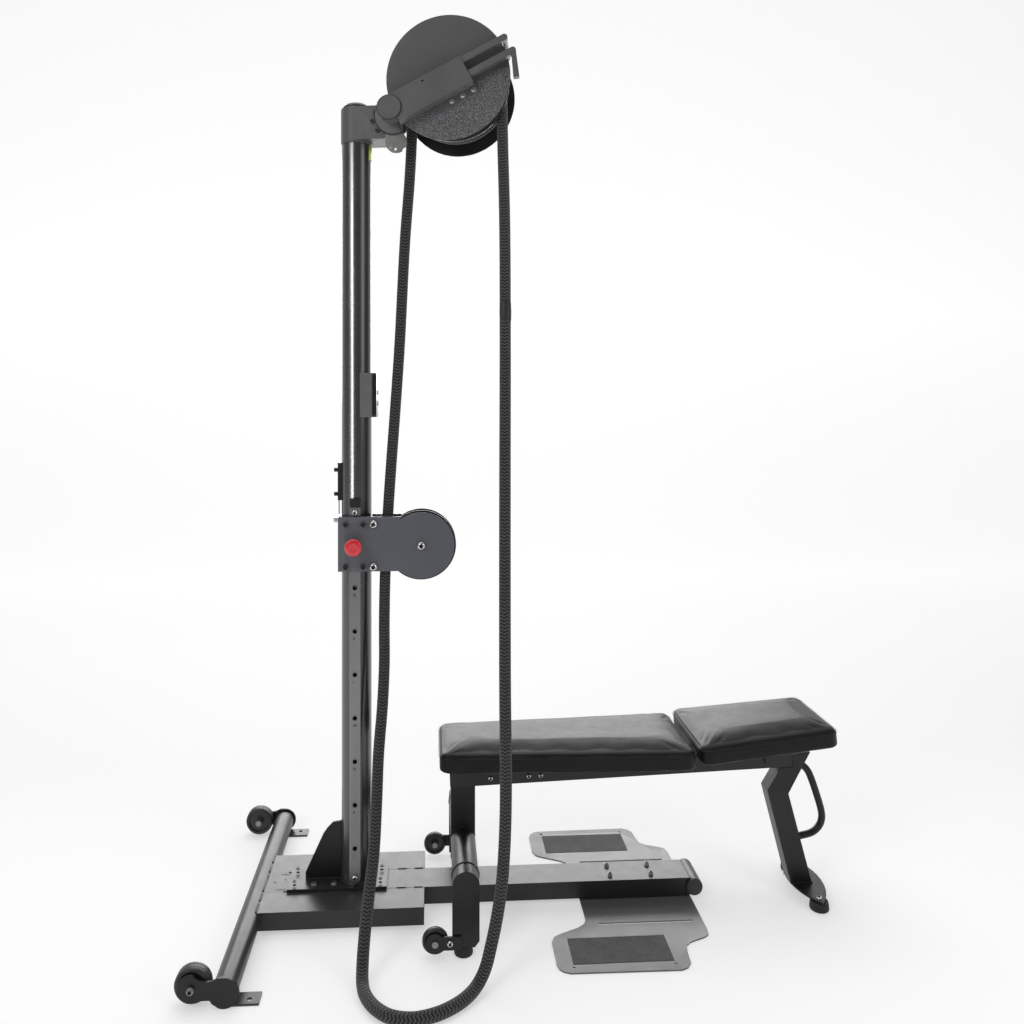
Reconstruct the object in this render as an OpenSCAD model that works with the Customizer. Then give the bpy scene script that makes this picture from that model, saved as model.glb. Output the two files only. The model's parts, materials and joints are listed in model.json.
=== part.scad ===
// Rope-pull rower: a swivelling rope drum on a column, a height-set pulley carriage,
// a floor frame with foot plates, and a rolling bench that straddles the floor beam.
// Origin: on the floor, midway between the two floor-anchor holes. +X runs from the
// column towards the foot plates, +Y across the machine, +Z up.

/* [Floor frame] */
// Length of the floor cross tube between its end plates
cross_len = 864; // [760:2:960]
// Outer diameter of the floor cross tube
cross_d = 63.5; // [58:0.5:66]
// Width of each rectangular floor tube
tube_w = 101.6; // [90:0.1:110]
// Height of each rectangular floor tube
tube_h = 50.8; // [46:0.1:54]
// Distance from the anchor holes to the right end of the two side tubes
deck_end_x = 432; // [400:1:460]
// Distance from the anchor holes to the round end tube of the main beam
beam_end_x = 1241; // [1235:1:1290]
// Distance between the two floor-anchor holes
anchor_pitch = 830; // [740:2:850]
// Radius of the floor-anchor holes
anchor_hole_r = 6; // [5:0.5:8]

/* [Column] */
// Distance from the anchor holes to the column axis
column_x = 229; // [222:1:240]
// Outer diameter of the column
column_d = 88.9; // [84:0.1:90]
// Height of the top of the column tube
column_top = 2260; // [2200:5:2320]
// Distance between holes of the guide rail
rail_pitch = 127; // [120:1:127]

/* [Head] */
// Rest angle of the head about the column, turned towards the user
swivel = 9; // [0:1:10]
// Rest angle of the drum arm above the horizontal
tilt = 26.5; // [20:0.5:30]
// Radius of the drum's far flange
flange_r = 168; // [164:1:172]
// Radius of the rope's centreline on the drum
wrap_r = 136; // [132:1:138]
// Diameter of the rope
rope_d = 32; // [30:1:33]

/* [Carriage] */
// Height of the pulley's axis
carriage_z = 1075; // [1074:1:1078]
// Radius of the pulley's rim
pulley_r = 102; // [100:1:103]

/* [Bench] */
// Distance from the anchor holes to the front legs of the bench
leg_x = 546; // [540:1:556]
// Length of the long pad
pad_long = 742; // [730:1:748]
// Thickness of both pads
pad_t = 58; // [52:1:60]

/* [Hidden] */
$fn = 64;

clear = 0.3;
steel_t = 8;
cross_x = -58;
axis_z = 38;
tube_z = axis_z - tube_h / 2;
deck_top = tube_z + tube_h;
plate_t = 9;
base_top = deck_top + plate_t;
base_x0 = 31;
base_x1 = 321;
base_w = 114;
wheel_x = -138;
wheel_z = 51;
wheel_r = 45;
wheel_w = 34;
wheel_y = cross_len / 2 - wheel_w / 2 - 2;
bolt_r = 6;
column_r = column_d / 2;
foot_t = 4;
foot_bolt_x = [991, 1116];
foot_bolt_y = 26;

spindle_r = 36;
bush_t = 4;
collar_r = 46.5;
collar_z0 = column_top + 2;
collar_z1 = 2368;
cheek_t = 8;
cheek_end_r = 28;
pivot_x = 124;
pivot_z = 2333;
pivot_r = 10;
index_t = 7;
spacer_r = 20;
head_screw_at = [[67, 2344], [58, 2319], [74, 2291]];

// Places across the head, measured from the column axis
arm_face_y = -122;
arm_deep = 36;
arm_back_y = arm_face_y + arm_deep;
cover_y0 = -81;
cover_t = 5;
groove_y0 = -69;
groove_w = 119;
groove_y1 = groove_y0 + groove_w;
near_flange_r = 160;
cover_r = 180;
flange_t = 6;
core_r = wrap_r - rope_d / 2 - 3 * clear;
wrap_y0 = 10;
wrap_pitch = 38;
wrap_turns = 1.5;
axle_r = 12.5;
// Places on the arm: along it from the pivot, and square to it
drum_a = 192;
drum_b = -16;
cover_a = 188;
cover_b = 12;
arm_a0 = 8;
arm_a1 = 244;
arm_b0 = -47;
arm_b1 = 34;
drum_x = pivot_x + drum_a * cos(tilt) - drum_b * sin(tilt);
drum_z = pivot_z + drum_a * sin(tilt) + drum_b * cos(tilt);

rail_w = 32;
rail_t = 12;
standoff_t = 5;
rail_y1 = -column_r - standoff_t;
rail_y0 = rail_y1 - rail_t;
rail_z0 = 86;
rail_z1 = 1186;
rail_bolt_z = [rail_z0 + 18, rail_z1 - 15];
rail_holes = 8;
first_hole_z = 188.5;
pin_z = first_hole_z + (rail_holes - 1) * rail_pitch;
pin_r = 6;
near_y1 = rail_y0 - 6;
near_y0 = near_y1 - 6;
pulley_x = 423;
pulley_w = 46;
pulley_y = near_y1 + 5 + pulley_w / 2;
far_y0 = pulley_y + pulley_w / 2 + 5;
far_t = 6;
plate_x0 = 181;
plate_z0 = 1001;
plate_z1 = 1160;
plate_disc_r = 97;
shoe_w = 18;
shoe_h = 24;
shoe_x = rail_w / 2 + clear + shoe_w / 2;
pin_gap = 0.5;
pin_push = 9;
rope_pulley_x = 321;
button_z = [1491, 1524];
spacer_x = 284;
spacer_z = [1015, 1139];
lug_z = 1150;
lug_top = lug_z + 8;
anchor_z0 = 1202;

bench_y = -20;
leg_w = 73;
leg_y = 218;
leg_deep = 48;
leg_axis_z = 197;
spine_w = 50.8;
spine_h = 63.5;
spine_x0 = 508;
spine_z0 = 352;
spine_pitch = 1.9;
spine_len = 1040;
pad_front_x = 474;
pad_front_z = 435;
pad_front_pitch = 0.4;
pad_rear_x = 1226;
pad_rear_z = 451;
pad_rear_pitch = 5.3;
pad_rear_len = 420;
bench_wheel_r = 35;
bench_wheel_z = 45;
bench_wheel_x = 463;
rear_foot_y = 105;

// Route of the free rope, from the drum's left side, round the floor, to its right side
rope_route = [
    [395, -16, 2404], [394, -17, 2290], [387, -19, 2150], [373, -22, 1960], [359, -27, 1680],
    [346, -32, 1480], [333, -36, 1300], [324, -39, 1160], [321, -40, 1075], [316, -41, 980],
    [314, -48, 850], [315, -64, 730], [311, -90, 615], [302, -124, 490], [299, -166, 370],
    [295, -214, 260], [285, -268, 168], [278, -318, 96], [276, -362, 46], [279, -400, 22],
    [290, -438, 17], [315, -480, 17], [352, -512, 17], [396, -525, 17], [440, -521, 17],
    [490, -500, 17], [534, -467, 18], [566, -434, 26], [590, -410, 54], [606, -397, 104],
    [622, -386, 170], [636, -374, 255], [645, -358, 370], [649, -338, 510], [649, -312, 720],
    [651, -282, 980], [654, -248, 1300], [658, -208, 1650], [660, -170, 1980], [658, -126, 2230],
    [655, -115, 2404]
];

// ---- shared shapes ----
module tube_x(len, w, h, t) {
    difference() {
        translate([0, -w / 2, 0]) cube([len, w, h]);
        translate([-1, t - w / 2, t]) cube([len + 2, w - 2 * t, h - 2 * t]);
    }
}
module rod_y(r, y0, y1) {
    translate([0, y0, 0]) rotate([-90, 0, 0]) cylinder(r = r, h = y1 - y0);
}
module rod_x(r, x0, x1) {
    translate([x0, 0, 0]) rotate([0, 90, 0]) cylinder(r = r, h = x1 - x0);
}
module slab_y(y0, y1) {
    translate([0, y1, 0]) rotate([90, 0, 0]) linear_extrude(y1 - y0) children();
}
module hex_bolt_y(head_y, end_y, r) {
    side = sign(end_y - head_y);
    head_end = head_y + side * 5;
    rod_y(1.7 * r, min(head_y, head_end), max(head_y, head_end));
    rod_y(r, min(head_end, end_y), max(head_end, end_y));
}
module screw_z(z0, z1, r) {
    translate([0, 0, z0]) cylinder(r = r, h = z1 - z0);
    translate([0, 0, z1]) cylinder(r1 = 2 * r, r2 = 1.5 * r, h = r);
}
module rounded_rect(w, h, r) {
    square([w - 2 * r, h], center = true);
    square([w, h - 2 * r], center = true);
    for (x = [-1, 1], y = [-1, 1]) translate([x * (w / 2 - r), y * (h / 2 - r)]) circle(r);
}
module both_sides() {
    children();
    mirror([0, 1, 0]) children();
}
module in_head() {
    translate([column_x, 0, 0]) rotate([0, 0, -swivel]) children();
}
module in_arm() {
    in_head() translate([pivot_x, 0, pivot_z]) rotate([0, -tilt, 0]) children();
}
module at_drum() {
    in_arm() translate([drum_a, 0, drum_b]) children();
}
module in_bench() {
    translate([0, bench_y, 0]) children();
}

// ---- floor frame ----
module cross_tube() {
    color("dimgray") translate([cross_x, 0, axis_z]) difference() {
        rod_y(cross_d / 2, -cross_len / 2, cross_len / 2);
        rod_y(cross_d / 2 - 3, -cross_len / 2 - 1, cross_len / 2 + 1);
    }
}
module dog_bone() {
    waist = (cross_x + wheel_x) / 2;
    difference() {
        union() {
            translate([cross_x, axis_z]) circle(axis_z);
            translate([wheel_x, wheel_z]) circle(35);
            translate([wheel_x, 22]) square([cross_x - wheel_x, 54]);
        }
        translate([waist, 112]) circle(44);
        translate([waist - 6, -28]) circle(44);
        translate([wheel_x, wheel_z]) circle(bolt_r);
    }
}
module end_plates() {
    color("#202224") both_sides() slab_y(cross_len / 2, cross_len / 2 + steel_t) dog_bone();
}
module anchor_tabs() {
    tab_x0 = cross_x;
    tab_x1 = 26;
    color("#3c3e42") both_sides() difference() {
        translate([tab_x0, anchor_pitch / 2 - 27, 0]) cube([tab_x1 - tab_x0, 44, 6]);
        translate([0, anchor_pitch / 2, -1]) cylinder(r = anchor_hole_r, h = steel_t);
        translate([cross_x, 0, axis_z]) rod_y(cross_d / 2, 0, cross_len);
    }
}
module coped_tube(x1) {
    difference() {
        translate([cross_x, 0, tube_z]) tube_x(x1 - cross_x, tube_w, tube_h, 3);
        translate([cross_x, 0, axis_z]) rod_y(cross_d / 2, -tube_w, tube_w);
    }
}
module deck_tubes() {
    color("#3a3c40") both_sides() translate([0, tube_w, 0]) coped_tube(deck_end_x);
}
module main_beam() {
    color("#3a3c40") difference() {
        coped_tube(beam_end_x);
        translate([beam_end_x, 0, axis_z]) rod_y(tube_h / 2, -tube_w, tube_w);
        for (x = foot_bolt_x, y = [-foot_bolt_y, foot_bolt_y])
            translate([x, y, 0]) cylinder(r = 4, h = base_top);
    }
}
module end_tube() {
    color("#3a3c40") translate([beam_end_x, 0, axis_z]) difference() {
        rod_y(tube_h / 2, -56, 56);
        rod_y(tube_h / 2 - 3, -57, 57);
    }
}
module tube_caps() {
    color("#1c1d1f") {
        for (y = [-tube_w, tube_w]) translate([deck_end_x - 12, y, tube_z + 3])
            translate([0, 3 - tube_w / 2, 0]) cube([12, tube_w - 6, tube_h - 6]);
        both_sides() translate([beam_end_x, 0, axis_z]) {
            rod_y(tube_h / 2 - 3, 44, 56);
            rod_y(tube_h / 2 - 1, 56, 59);
        }
    }
}
module base_plate() {
    color("#3c3e42") translate([0, 0, deck_top]) difference() {
        translate([base_x0, -base_w / 2, 0]) cube([base_x1 - base_x0, base_w, plate_t]);
        for (x = [50, 107, 165, 302], y = [-34, 34]) translate([x, y, -1]) cylinder(r = 5, h = 12);
    }
}
module frame_bolts() {
    color("silver") for (x = [107, 165], y = [-34, 34]) translate([x, y, 0])
        screw_z(deck_top, base_top, 4.9);
    color("silver") for (x = foot_bolt_x, y = [-foot_bolt_y, foot_bolt_y]) translate([x, y, 0]) {
        screw_z(foot_t, deck_top, 3.9);
        difference() {
            translate([0, 0, foot_t]) cylinder(r = 11, h = tube_z - foot_t);
            translate([0, 0, foot_t - 1]) cylinder(r = 3.9, h = 20);
        }
    }
}
module gusset() {
    color("#232527") slab_y(-4, 4) difference() {
        polygon([[78, base_top], [78, 92], [130, 205], [142, 222], [160, 240], [column_x, 250],
                 [column_x, base_top]]);
        translate([column_x - column_r, 0]) square([column_r + 1, 300]);
    }
}
module column() {
    color("#2e3033") translate([column_x, 0, base_top]) difference() {
        cylinder(r = column_r, h = column_top - base_top);
        translate([0, 0, -1]) cylinder(r = column_r - 4, h = column_top - base_top + 2);
        for (z = rail_bolt_z) translate([0, 0, z - base_top]) rod_y(5, -column_r - 1, -column_r + 10);
    }
}
module spindle() {
    color("#8a8d91") translate([column_x, 0, 0]) difference() {
        union() {
            translate([0, 0, column_top - 60]) cylinder(r = column_r - 4, h = 60);
            translate([0, 0, column_top]) cylinder(r = spindle_r, h = collar_z1 - column_top);
        }
        translate([0, 0, column_top - 61]) cylinder(r = spindle_r - 6, h = 200);
    }
}
module spindle_cap() {
    color("#3d3f43") translate([column_x, 0, 0]) {
        translate([0, 0, collar_z1 + 0.5]) cylinder(r = 40, h = 6);
        translate([0, 0, collar_z1 + 6.5]) cylinder(r1 = 38, r2 = 30, h = 8);
        translate([0, 0, collar_z1 - 11]) cylinder(r = spindle_r - 6, h = 12);
    }
}
module guide_rail() {
    color("#a2a5a9") difference() {
        union() {
            translate([column_x - rail_w / 2, rail_y0, rail_z0 + rail_w / 2])
                cube([rail_w, rail_t, rail_z1 - rail_z0 - rail_w / 2]);
            translate([column_x, 0, rail_z0 + rail_w / 2]) rod_y(rail_w / 2, rail_y0, rail_y1);
        }
        for (i = [0 : rail_holes - 1]) translate([column_x, 0, first_hole_z + i * rail_pitch])
            rod_y(pin_r + 0.5, rail_y0 - 1, rail_y1 + 1);
        for (z = rail_bolt_z) translate([column_x, 0, z]) rod_y(5, rail_y0 - 1, rail_y1 + 1);
    }
}
module rail_fixings() {
    color("silver") {
        for (z = rail_bolt_z) translate([column_x, 0, z])
            hex_bolt_y(rail_y0 - 5, -column_r + 4, 4.9);
        for (z = [rail_z0 + 45, 640, 870, rail_z1 - 40]) translate([column_x, 0, z]) difference() {
            rod_y(9, rail_y1, -column_r + 4);
            translate([0, 0, -z]) cylinder(r = column_r, h = column_top);
        }
    }
    color("#1f2022") translate([column_x - 15, -column_r - 14, rail_z1 + 1]) difference() {
        cube([30, 18, 24]);
        translate([15, column_r + 14, -1]) cylinder(r = column_r, h = 30);
    }
}
module foot_outline() {
    polygon([[896, 0], [896, 142], [888, 160], [868, 176], [812, 202], [794, 214], [785, 236],
             [785, 330], [790, 348], [800, 359], [818, 366], [1112, 370], [1130, 362], [1143, 344],
             [1147, 300], [1153, 272], [1168, 258], [1216, 238], [1228, 228], [1232, 206], [1232, 0]]);
}
module foot_plate() {
    color("#4a4c50") difference() {
        linear_extrude(foot_t) both_sides() foot_outline();
        for (x = [829, 1102], y = [-346, 346]) translate([x, y, -1]) cylinder(r = 4, h = 9);
        for (y = [-163, 163]) translate([930, y - 4, -1]) cube([270, 8, 9]);
    }
}
module grip_pads() {
    color("#77797d") both_sides() translate([0, 0, foot_t]) linear_extrude(0.8)
        polygon([[829, 224], [1102, 224], [1102, 333], [829, 333]]);
}
// ---- console, counterbalance and transport wheels ----
module console_housing() {
    color("#6c6e72") difference() {
        translate([242, -43, 1450]) cube([36, 86, 131]);
        translate([column_x, 0, 1400]) cylinder(r = column_r, h = 240);
    }
}
module console_bezel() {
    color("#1b1c1e") difference() {
        translate([278, 0, 1515.5]) rotate([0, 90, 0]) linear_extrude(13) rounded_rect(131, 92, 8);
        for (z = button_z) translate([0, 0, z]) rod_x(8.3, 284, 300);
    }
}
module button_upper() {
    color("#8d9095") translate([0, 0, button_z[1]]) rod_x(8, 286, 294);
}
module button_lower() {
    color("#8d9095") translate([0, 0, button_z[0]]) rod_x(8, 286, 294);
}
module band_anchor() {
    color("#2a2c2f") difference() {
        translate([174, -14, anchor_z0]) cube([20, 28, 112]);
        translate([column_x, 0, 1190]) cylinder(r = column_r, h = 140);
    }
    color("silver") for (z = [1220, 1292]) translate([0, 0, z]) rod_x(6, 162, 174);
}
module counter_band() {
    color("#c9ccd0") translate([176, -9, lug_top]) cube([2, 18, anchor_z0 - lug_top]);
}
module base_wheel(side) {
    color("#2b2c2e") translate([wheel_x, side * wheel_y, wheel_z]) difference() {
        union() {
            rod_y(wheel_r, -wheel_w / 2 + 4, wheel_w / 2 - 4);
            rod_y(wheel_r - 4, -wheel_w / 2, wheel_w / 2);
        }
        rod_y(bolt_r + 0.05, -wheel_w, wheel_w);
        both_sides() rod_y(30, wheel_w / 2 - 5, wheel_w);
    }
}
module wheel_near() { base_wheel(-1); }
module wheel_far() { base_wheel(1); }
module wheel_axles() {
    color("silver") both_sides() translate([wheel_x, 0, wheel_z]) {
        rod_y(bolt_r, wheel_y - 25, cross_len / 2 + steel_t);
        rod_y(10, cross_len / 2 + steel_t, cross_len / 2 + steel_t + 5);
        rod_y(10, wheel_y - 30, wheel_y - 22);
    }
}

// ---- head: collar, clevis and pivot ----
module collar() {
    color("#5d5f63") in_head() difference() {
        translate([0, 0, collar_z0]) cylinder(r = collar_r, h = collar_z1 - collar_z0);
        translate([0, 0, collar_z0 - 1]) cylinder(r = spindle_r + bush_t, h = 160);
    }
}
module collar_bushes() {
    color("#c9c3ae") in_head() for (z = [collar_z0, collar_z1 - 32]) translate([0, 0, z]) difference() {
        cylinder(r = spindle_r + bush_t, h = 32);
        translate([0, 0, -1]) cylinder(r = spindle_r + 0.05, h = 34);
    }
}
module cheek() {
    difference() {
        union() {
            translate([0, collar_z0 + 6]) square([pivot_x - 12, collar_z1 - collar_z0 - 8]);
            translate([pivot_x, pivot_z]) circle(cheek_end_r);
            translate([pivot_x - 40, collar_z0 + 6]) square([40, 40]);
        }
        translate([pivot_x, pivot_z]) circle(pivot_r + 0.05);
    }
}
module clevis() {
    color("#5d5f63") in_head() difference() {
        union() {
            both_sides() slab_y(collar_r - cheek_t, collar_r) cheek();
            translate([20, -collar_r + cheek_t, collar_z0 + 6])
                cube([pivot_x - 50, 2 * (collar_r - cheek_t), 6]);
        }
        translate([0, 0, collar_z0 - 5]) cylinder(r = collar_r, h = 150);
        for (p = head_screw_at) translate([p[0], 0, p[1]]) rod_y(3.1, -collar_r - 1, -collar_r + 3);
    }
}
module index_plate() {
    color("#97978f") in_head() slab_y(-collar_r - index_t, -collar_r) difference() {
        union() {
            translate([pivot_x, pivot_z]) circle(34);
            translate([pivot_x + 6, pivot_z - 78]) circle(32);
            translate([pivot_x - 25, pivot_z - 66]) square([50, 60]);
        }
        translate([pivot_x, pivot_z]) circle(pivot_r);
        translate([pivot_x + 34, pivot_z - 104]) circle(10);
        for (t = [-50, -5]) translate([pivot_x + 6 + 21 * sin(t), pivot_z - 78 - 21 * cos(t)]) circle(4);
    }
}
module pivot_pin() {
    color("#85888c") in_head() translate([pivot_x, 0, pivot_z]) {
        rod_y(pivot_r, arm_face_y + clear, collar_r + 1);
        rod_y(spacer_r, arm_back_y + clear, -collar_r - index_t);
    }
}
module head_screws() {
    color("silver") in_head() for (p = head_screw_at) translate([p[0], 0, p[1]])
        hex_bolt_y(-collar_r - 5, -collar_r + 2, 3);
}

// ---- arm, covers and guards ----
module arm_box() {
    mid = (arm_b0 + arm_b1) / 2;
    color("#63656a") in_arm() difference() {
        union() {
            translate([arm_a0, arm_face_y + arm_deep / 2, arm_b0])
                tube_x(arm_a1 - arm_a0, arm_deep, arm_b1 - arm_b0, 4);
            difference() {
                translate([0, 0, 0]) rod_y(35, arm_face_y - 4, arm_back_y);
                translate([arm_a0, arm_face_y + 4, arm_b0]) cube([40, arm_deep - 8, arm_b1 - arm_b0]);
            }
            translate([arm_a1 - 4, arm_face_y + 1, mid - 38]) cube([4, arm_deep - 2, 76]);
        }
        rod_y(pivot_r + 0.05, arm_face_y, arm_back_y + 1);
        translate([drum_a, 0, drum_b]) rod_y(axle_r, arm_face_y + 4, arm_back_y + 1);
        translate([118, 0, 22]) rod_y(3, arm_face_y - 1, arm_face_y + 6);
    }
}
module arm_plate() {
    color("#4b4d51") in_arm() slab_y(arm_back_y, cover_y0) difference() {
        translate([120, -66]) square([132, 100]);
        translate([drum_a, drum_b]) circle(axle_r);
        for (a = [168, 203, 238]) translate([a, -57]) circle(4);
    }
}
module guard_strip(b, tip) {
    slab_y(arm_face_y + 6, arm_face_y + 26) {
        translate([arm_a1, b - 9]) square([tip - arm_a1 - 9, 18]);
        translate([tip - 9, b]) circle(9);
    }
}
module guard_bars() {
    color("#808286") in_arm() {
        guard_strip(24, 387);
        guard_strip(-20, 392);
        slab_y(arm_face_y + 26, 44) translate([378, 24]) circle(7);
        slab_y(arm_face_y + 6, arm_face_y + 26)
            polygon([[374, -29], [392, -20], [366, -96], [350, -90]]);
    }
}
module cover_disc() {
    translate([cover_a, 0, cover_b]) difference() {
        union() {
            rod_y(cover_r, cover_y0 + 1.5, cover_y0 + cover_t);
            rod_y(cover_r - 1.5, cover_y0, cover_y0 + 1.5);
        }
        translate([drum_a - cover_a, 0, drum_b - cover_b])
            rod_y(axle_r + 2, cover_y0 - 1, cover_y0 + cover_t + 1);
        translate([-cover_a, 0, -cover_b]) rod_y(spacer_r + 4, cover_y0 - 1, cover_y0 + cover_t + 1);
    }
}
module cover_upper() {
    color("#66686c") in_arm() intersection() {
        cover_disc();
        translate([-100, cover_y0 - 5, -37.8]) cube([600, 20, 400]);
    }
}
module cover_lower() {
    color("#56585c") in_arm() intersection() {
        cover_disc();
        translate([-100, cover_y0 - 5, -438]) cube([600, 20, 400]);
    }
}
module arm_bolts() {
    color("silver") in_arm() {
        for (a = [168, 203, 238]) translate([a, 0, -57]) hex_bolt_y(arm_back_y - 5, cover_y0, 4);
        for (t = [-118, -85, -52, -20]) translate([cover_a + 148 * cos(t), 0, cover_b + 148 * sin(t)])
            rod_y(4, cover_y0 - 2, cover_y0);
    }
}
module drum_axle() {
    color("#9a9da1") at_drum() {
        rod_y(axle_r, arm_face_y + 4, groove_y1 + flange_t + 3);
        rod_y(18, groove_y1 + flange_t + 3, groove_y1 + flange_t + 9);
    }
}
module drum() {
    color("#232426") at_drum() difference() {
        union() {
            rod_y(near_flange_r, groove_y0 - flange_t, groove_y0);
            rod_y(core_r, groove_y0, groove_y1);
            rod_y(flange_r, groove_y1, groove_y1 + flange_t);
        }
        rod_y(26, groove_y0 - flange_t - 1, groove_y1 + flange_t + 1);
        difference() {
            rod_y(core_r - 6, groove_y0, groove_y1);
            rod_y(36, groove_y0 - 1, groove_y1 + 1);
        }
        for (t = [30 : 60 : 359]) rotate([0, t, 0]) translate([76, 0, 0])
            rod_y(26, groove_y0 - flange_t - 1, groove_y0 + 1);
    }
}
module drum_bearings() {
    color("#b9bcc0") at_drum() for (y = [groove_y0 - 4, groove_y1 - 12]) difference() {
        rod_y(26, y, y + 15);
        rod_y(axle_r + 0.05, y - 1, y + 16);
    }
}

// ---- rope ----
function unit(v) = v / norm(v);
function route_dir(p, i) = unit(p[min(i + 1, len(p) - 1)] - p[max(i - 1, 0)]);
function ring(c, d, a, r, n) =
    let (b = cross(d, a))
    [for (k = [0 : n - 1]) c + r * (a * cos(360 * k / n) + b * sin(360 * k / n))];
function across(a, d) = unit(a - (a * d) * d);
function carried(dirs) =
    [for (i = 0, a = across([0, 1, 0.2], dirs[0]); i < len(dirs);
          i = i + 1, a = across(a, dirs[min(i, len(dirs) - 1)])) a];
function spline(p, i, t) =
    let (p0 = p[max(i - 1, 0)], p1 = p[i], p2 = p[i + 1], p3 = p[min(i + 2, len(p) - 1)])
    0.5 * (2 * p1 + t * (p2 - p0) + t * t * (2 * p0 - 5 * p1 + 4 * p2 - p3)
           + t * t * t * (3 * p1 - p0 - 3 * p2 + p3));
function route_points(p, per) =
    concat([for (i = [0 : len(p) - 2], k = [0 : per - 1]) spline(p, i, k / per)], [p[len(p) - 1]]);
module sweep(points, r, n) {
    m = len(points);
    dirs = [for (i = [0 : m - 1]) route_dir(points, i)];
    starts = carried(dirs);
    rings = [for (i = [0 : m - 1]) ring(points[i], dirs[i], starts[i], r, n)];
    verts = [for (q = rings, v = q) v];
    sides = [for (i = [0 : m - 2], k = [0 : n - 1])
        [i * n + k, i * n + (k + 1) % n, (i + 1) * n + (k + 1) % n, (i + 1) * n + k]];
    ends = [[for (k = [n - 1 : -1 : 0]) k], [for (k = [0 : n - 1]) (m - 1) * n + k]];
    polyhedron(points = verts, faces = concat(sides, ends), convexity = 6);
}
wrap_steps = 54;
// Wraps over the top clockwise, from the left side to the right side, half a turn and one more
function wrap_point(i) =
    let (t = 180 - 360 * wrap_turns * i / wrap_steps)
    [wrap_r * cos(t), wrap_y0 - wrap_pitch * wrap_turns * i / wrap_steps, wrap_r * sin(t)];
module rope_wraps() {
    color("#19191a") in_head() translate([drum_x, 0, drum_z])
        sweep([for (i = [0 : wrap_steps]) wrap_point(i)], rope_d / 2, 10);
}
module rope_loop() {
    color("#19191a") sweep(route_points(rope_route, 2), rope_d / 2, 10);
}

// ---- carriage ----
module plate_outline() {
    translate([plate_x0, plate_z0]) square([pulley_x - 60 - plate_x0, plate_z1 - plate_z0]);
    translate([pulley_x, carriage_z]) circle(plate_disc_r);
}
module carriage_near_plate() {
    color("#666a72") slab_y(near_y0, near_y1) difference() {
        plate_outline();
        translate([pulley_x, carriage_z]) circle(8);
        translate([column_x, pin_z]) circle(pin_r + 0.05);
        for (z = spacer_z) translate([spacer_x, z]) circle(5);
        for (x = [-shoe_x, shoe_x], z = spacer_z) translate([column_x + x, z]) circle(4);
    }
}
module carriage_far_plate() {
    color("#5a5d64") slab_y(far_y0, far_y0 + far_t) difference() {
        union() {
            translate([column_x + column_r + 3, plate_z0])
                square([pulley_x - 60 - column_x - column_r - 3, plate_z1 - plate_z0]);
            translate([pulley_x, carriage_z]) circle(plate_disc_r);
        }
        translate([pulley_x, carriage_z]) circle(8);
        for (z = spacer_z) translate([spacer_x, z]) circle(5);
    }
}
module carriage_spacers() {
    color("#b5b8bc") for (z = spacer_z) translate([spacer_x, 0, z]) {
        rod_y(8, near_y1, far_y0);
        rod_y(5, near_y0, far_y0 + far_t);
        rod_y(9, near_y0 - 4, near_y0);
        rod_y(9, far_y0 + far_t, far_y0 + far_t + 4);
    }
    color("#2a2c2f") translate([168, near_y1, lug_z - 6]) {
        cube([14, 78, 14]);
        cube([22, 12, 14]);
    }
}
module guide_shoes() {
    color("#3a3c40") for (x = [-shoe_x, shoe_x], z = spacer_z) translate([column_x + x, 0, z]) {
        translate([-shoe_w / 2, near_y1, -shoe_h / 2]) cube([shoe_w, rail_y1 - 1 - near_y1, shoe_h]);
        rod_y(4, near_y0, near_y1);
        rod_y(7, near_y0 - 5, near_y0);
    }
}
module pulley_axle() {
    color("#b5b8bc") translate([pulley_x, 0, carriage_z]) {
        rod_y(8, near_y0, far_y0 + far_t);
        rod_y(12, near_y0 - 4, near_y0);
        rod_y(12, far_y0 + far_t, far_y0 + far_t + 4);
    }
}
module pulley() {
    half = pulley_w / 2;
    root = pulley_x - rope_pulley_x - rope_d / 2 - 2 * clear;
    color("#2b2c2e") translate([pulley_x, pulley_y, carriage_z]) rotate([90, 0, 0]) rotate_extrude()
        polygon([[8.05, -half], [30, -half], [32, -half + 8], [70, -half + 8], [74, -half],
                 [pulley_r, -half], [pulley_r, -half + 4], [root, -12], [root, 12],
                 [pulley_r, half - 4], [pulley_r, half], [74, half], [70, half - 8], [32, half - 8],
                 [30, half], [8.05, half]]);
}
module pull_pin() {
    knob_y = near_y0 - 30;
    color("#e0353a") translate([column_x, 0, pin_z]) {
        rod_y(pin_r, knob_y, rail_y0 - pin_gap);
        rod_y(12, knob_y, near_y0 - pin_push - 1);
        rod_y(25, knob_y - 16, knob_y);
        rod_y(22, knob_y - 18, knob_y - 16);
    }
}

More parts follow.
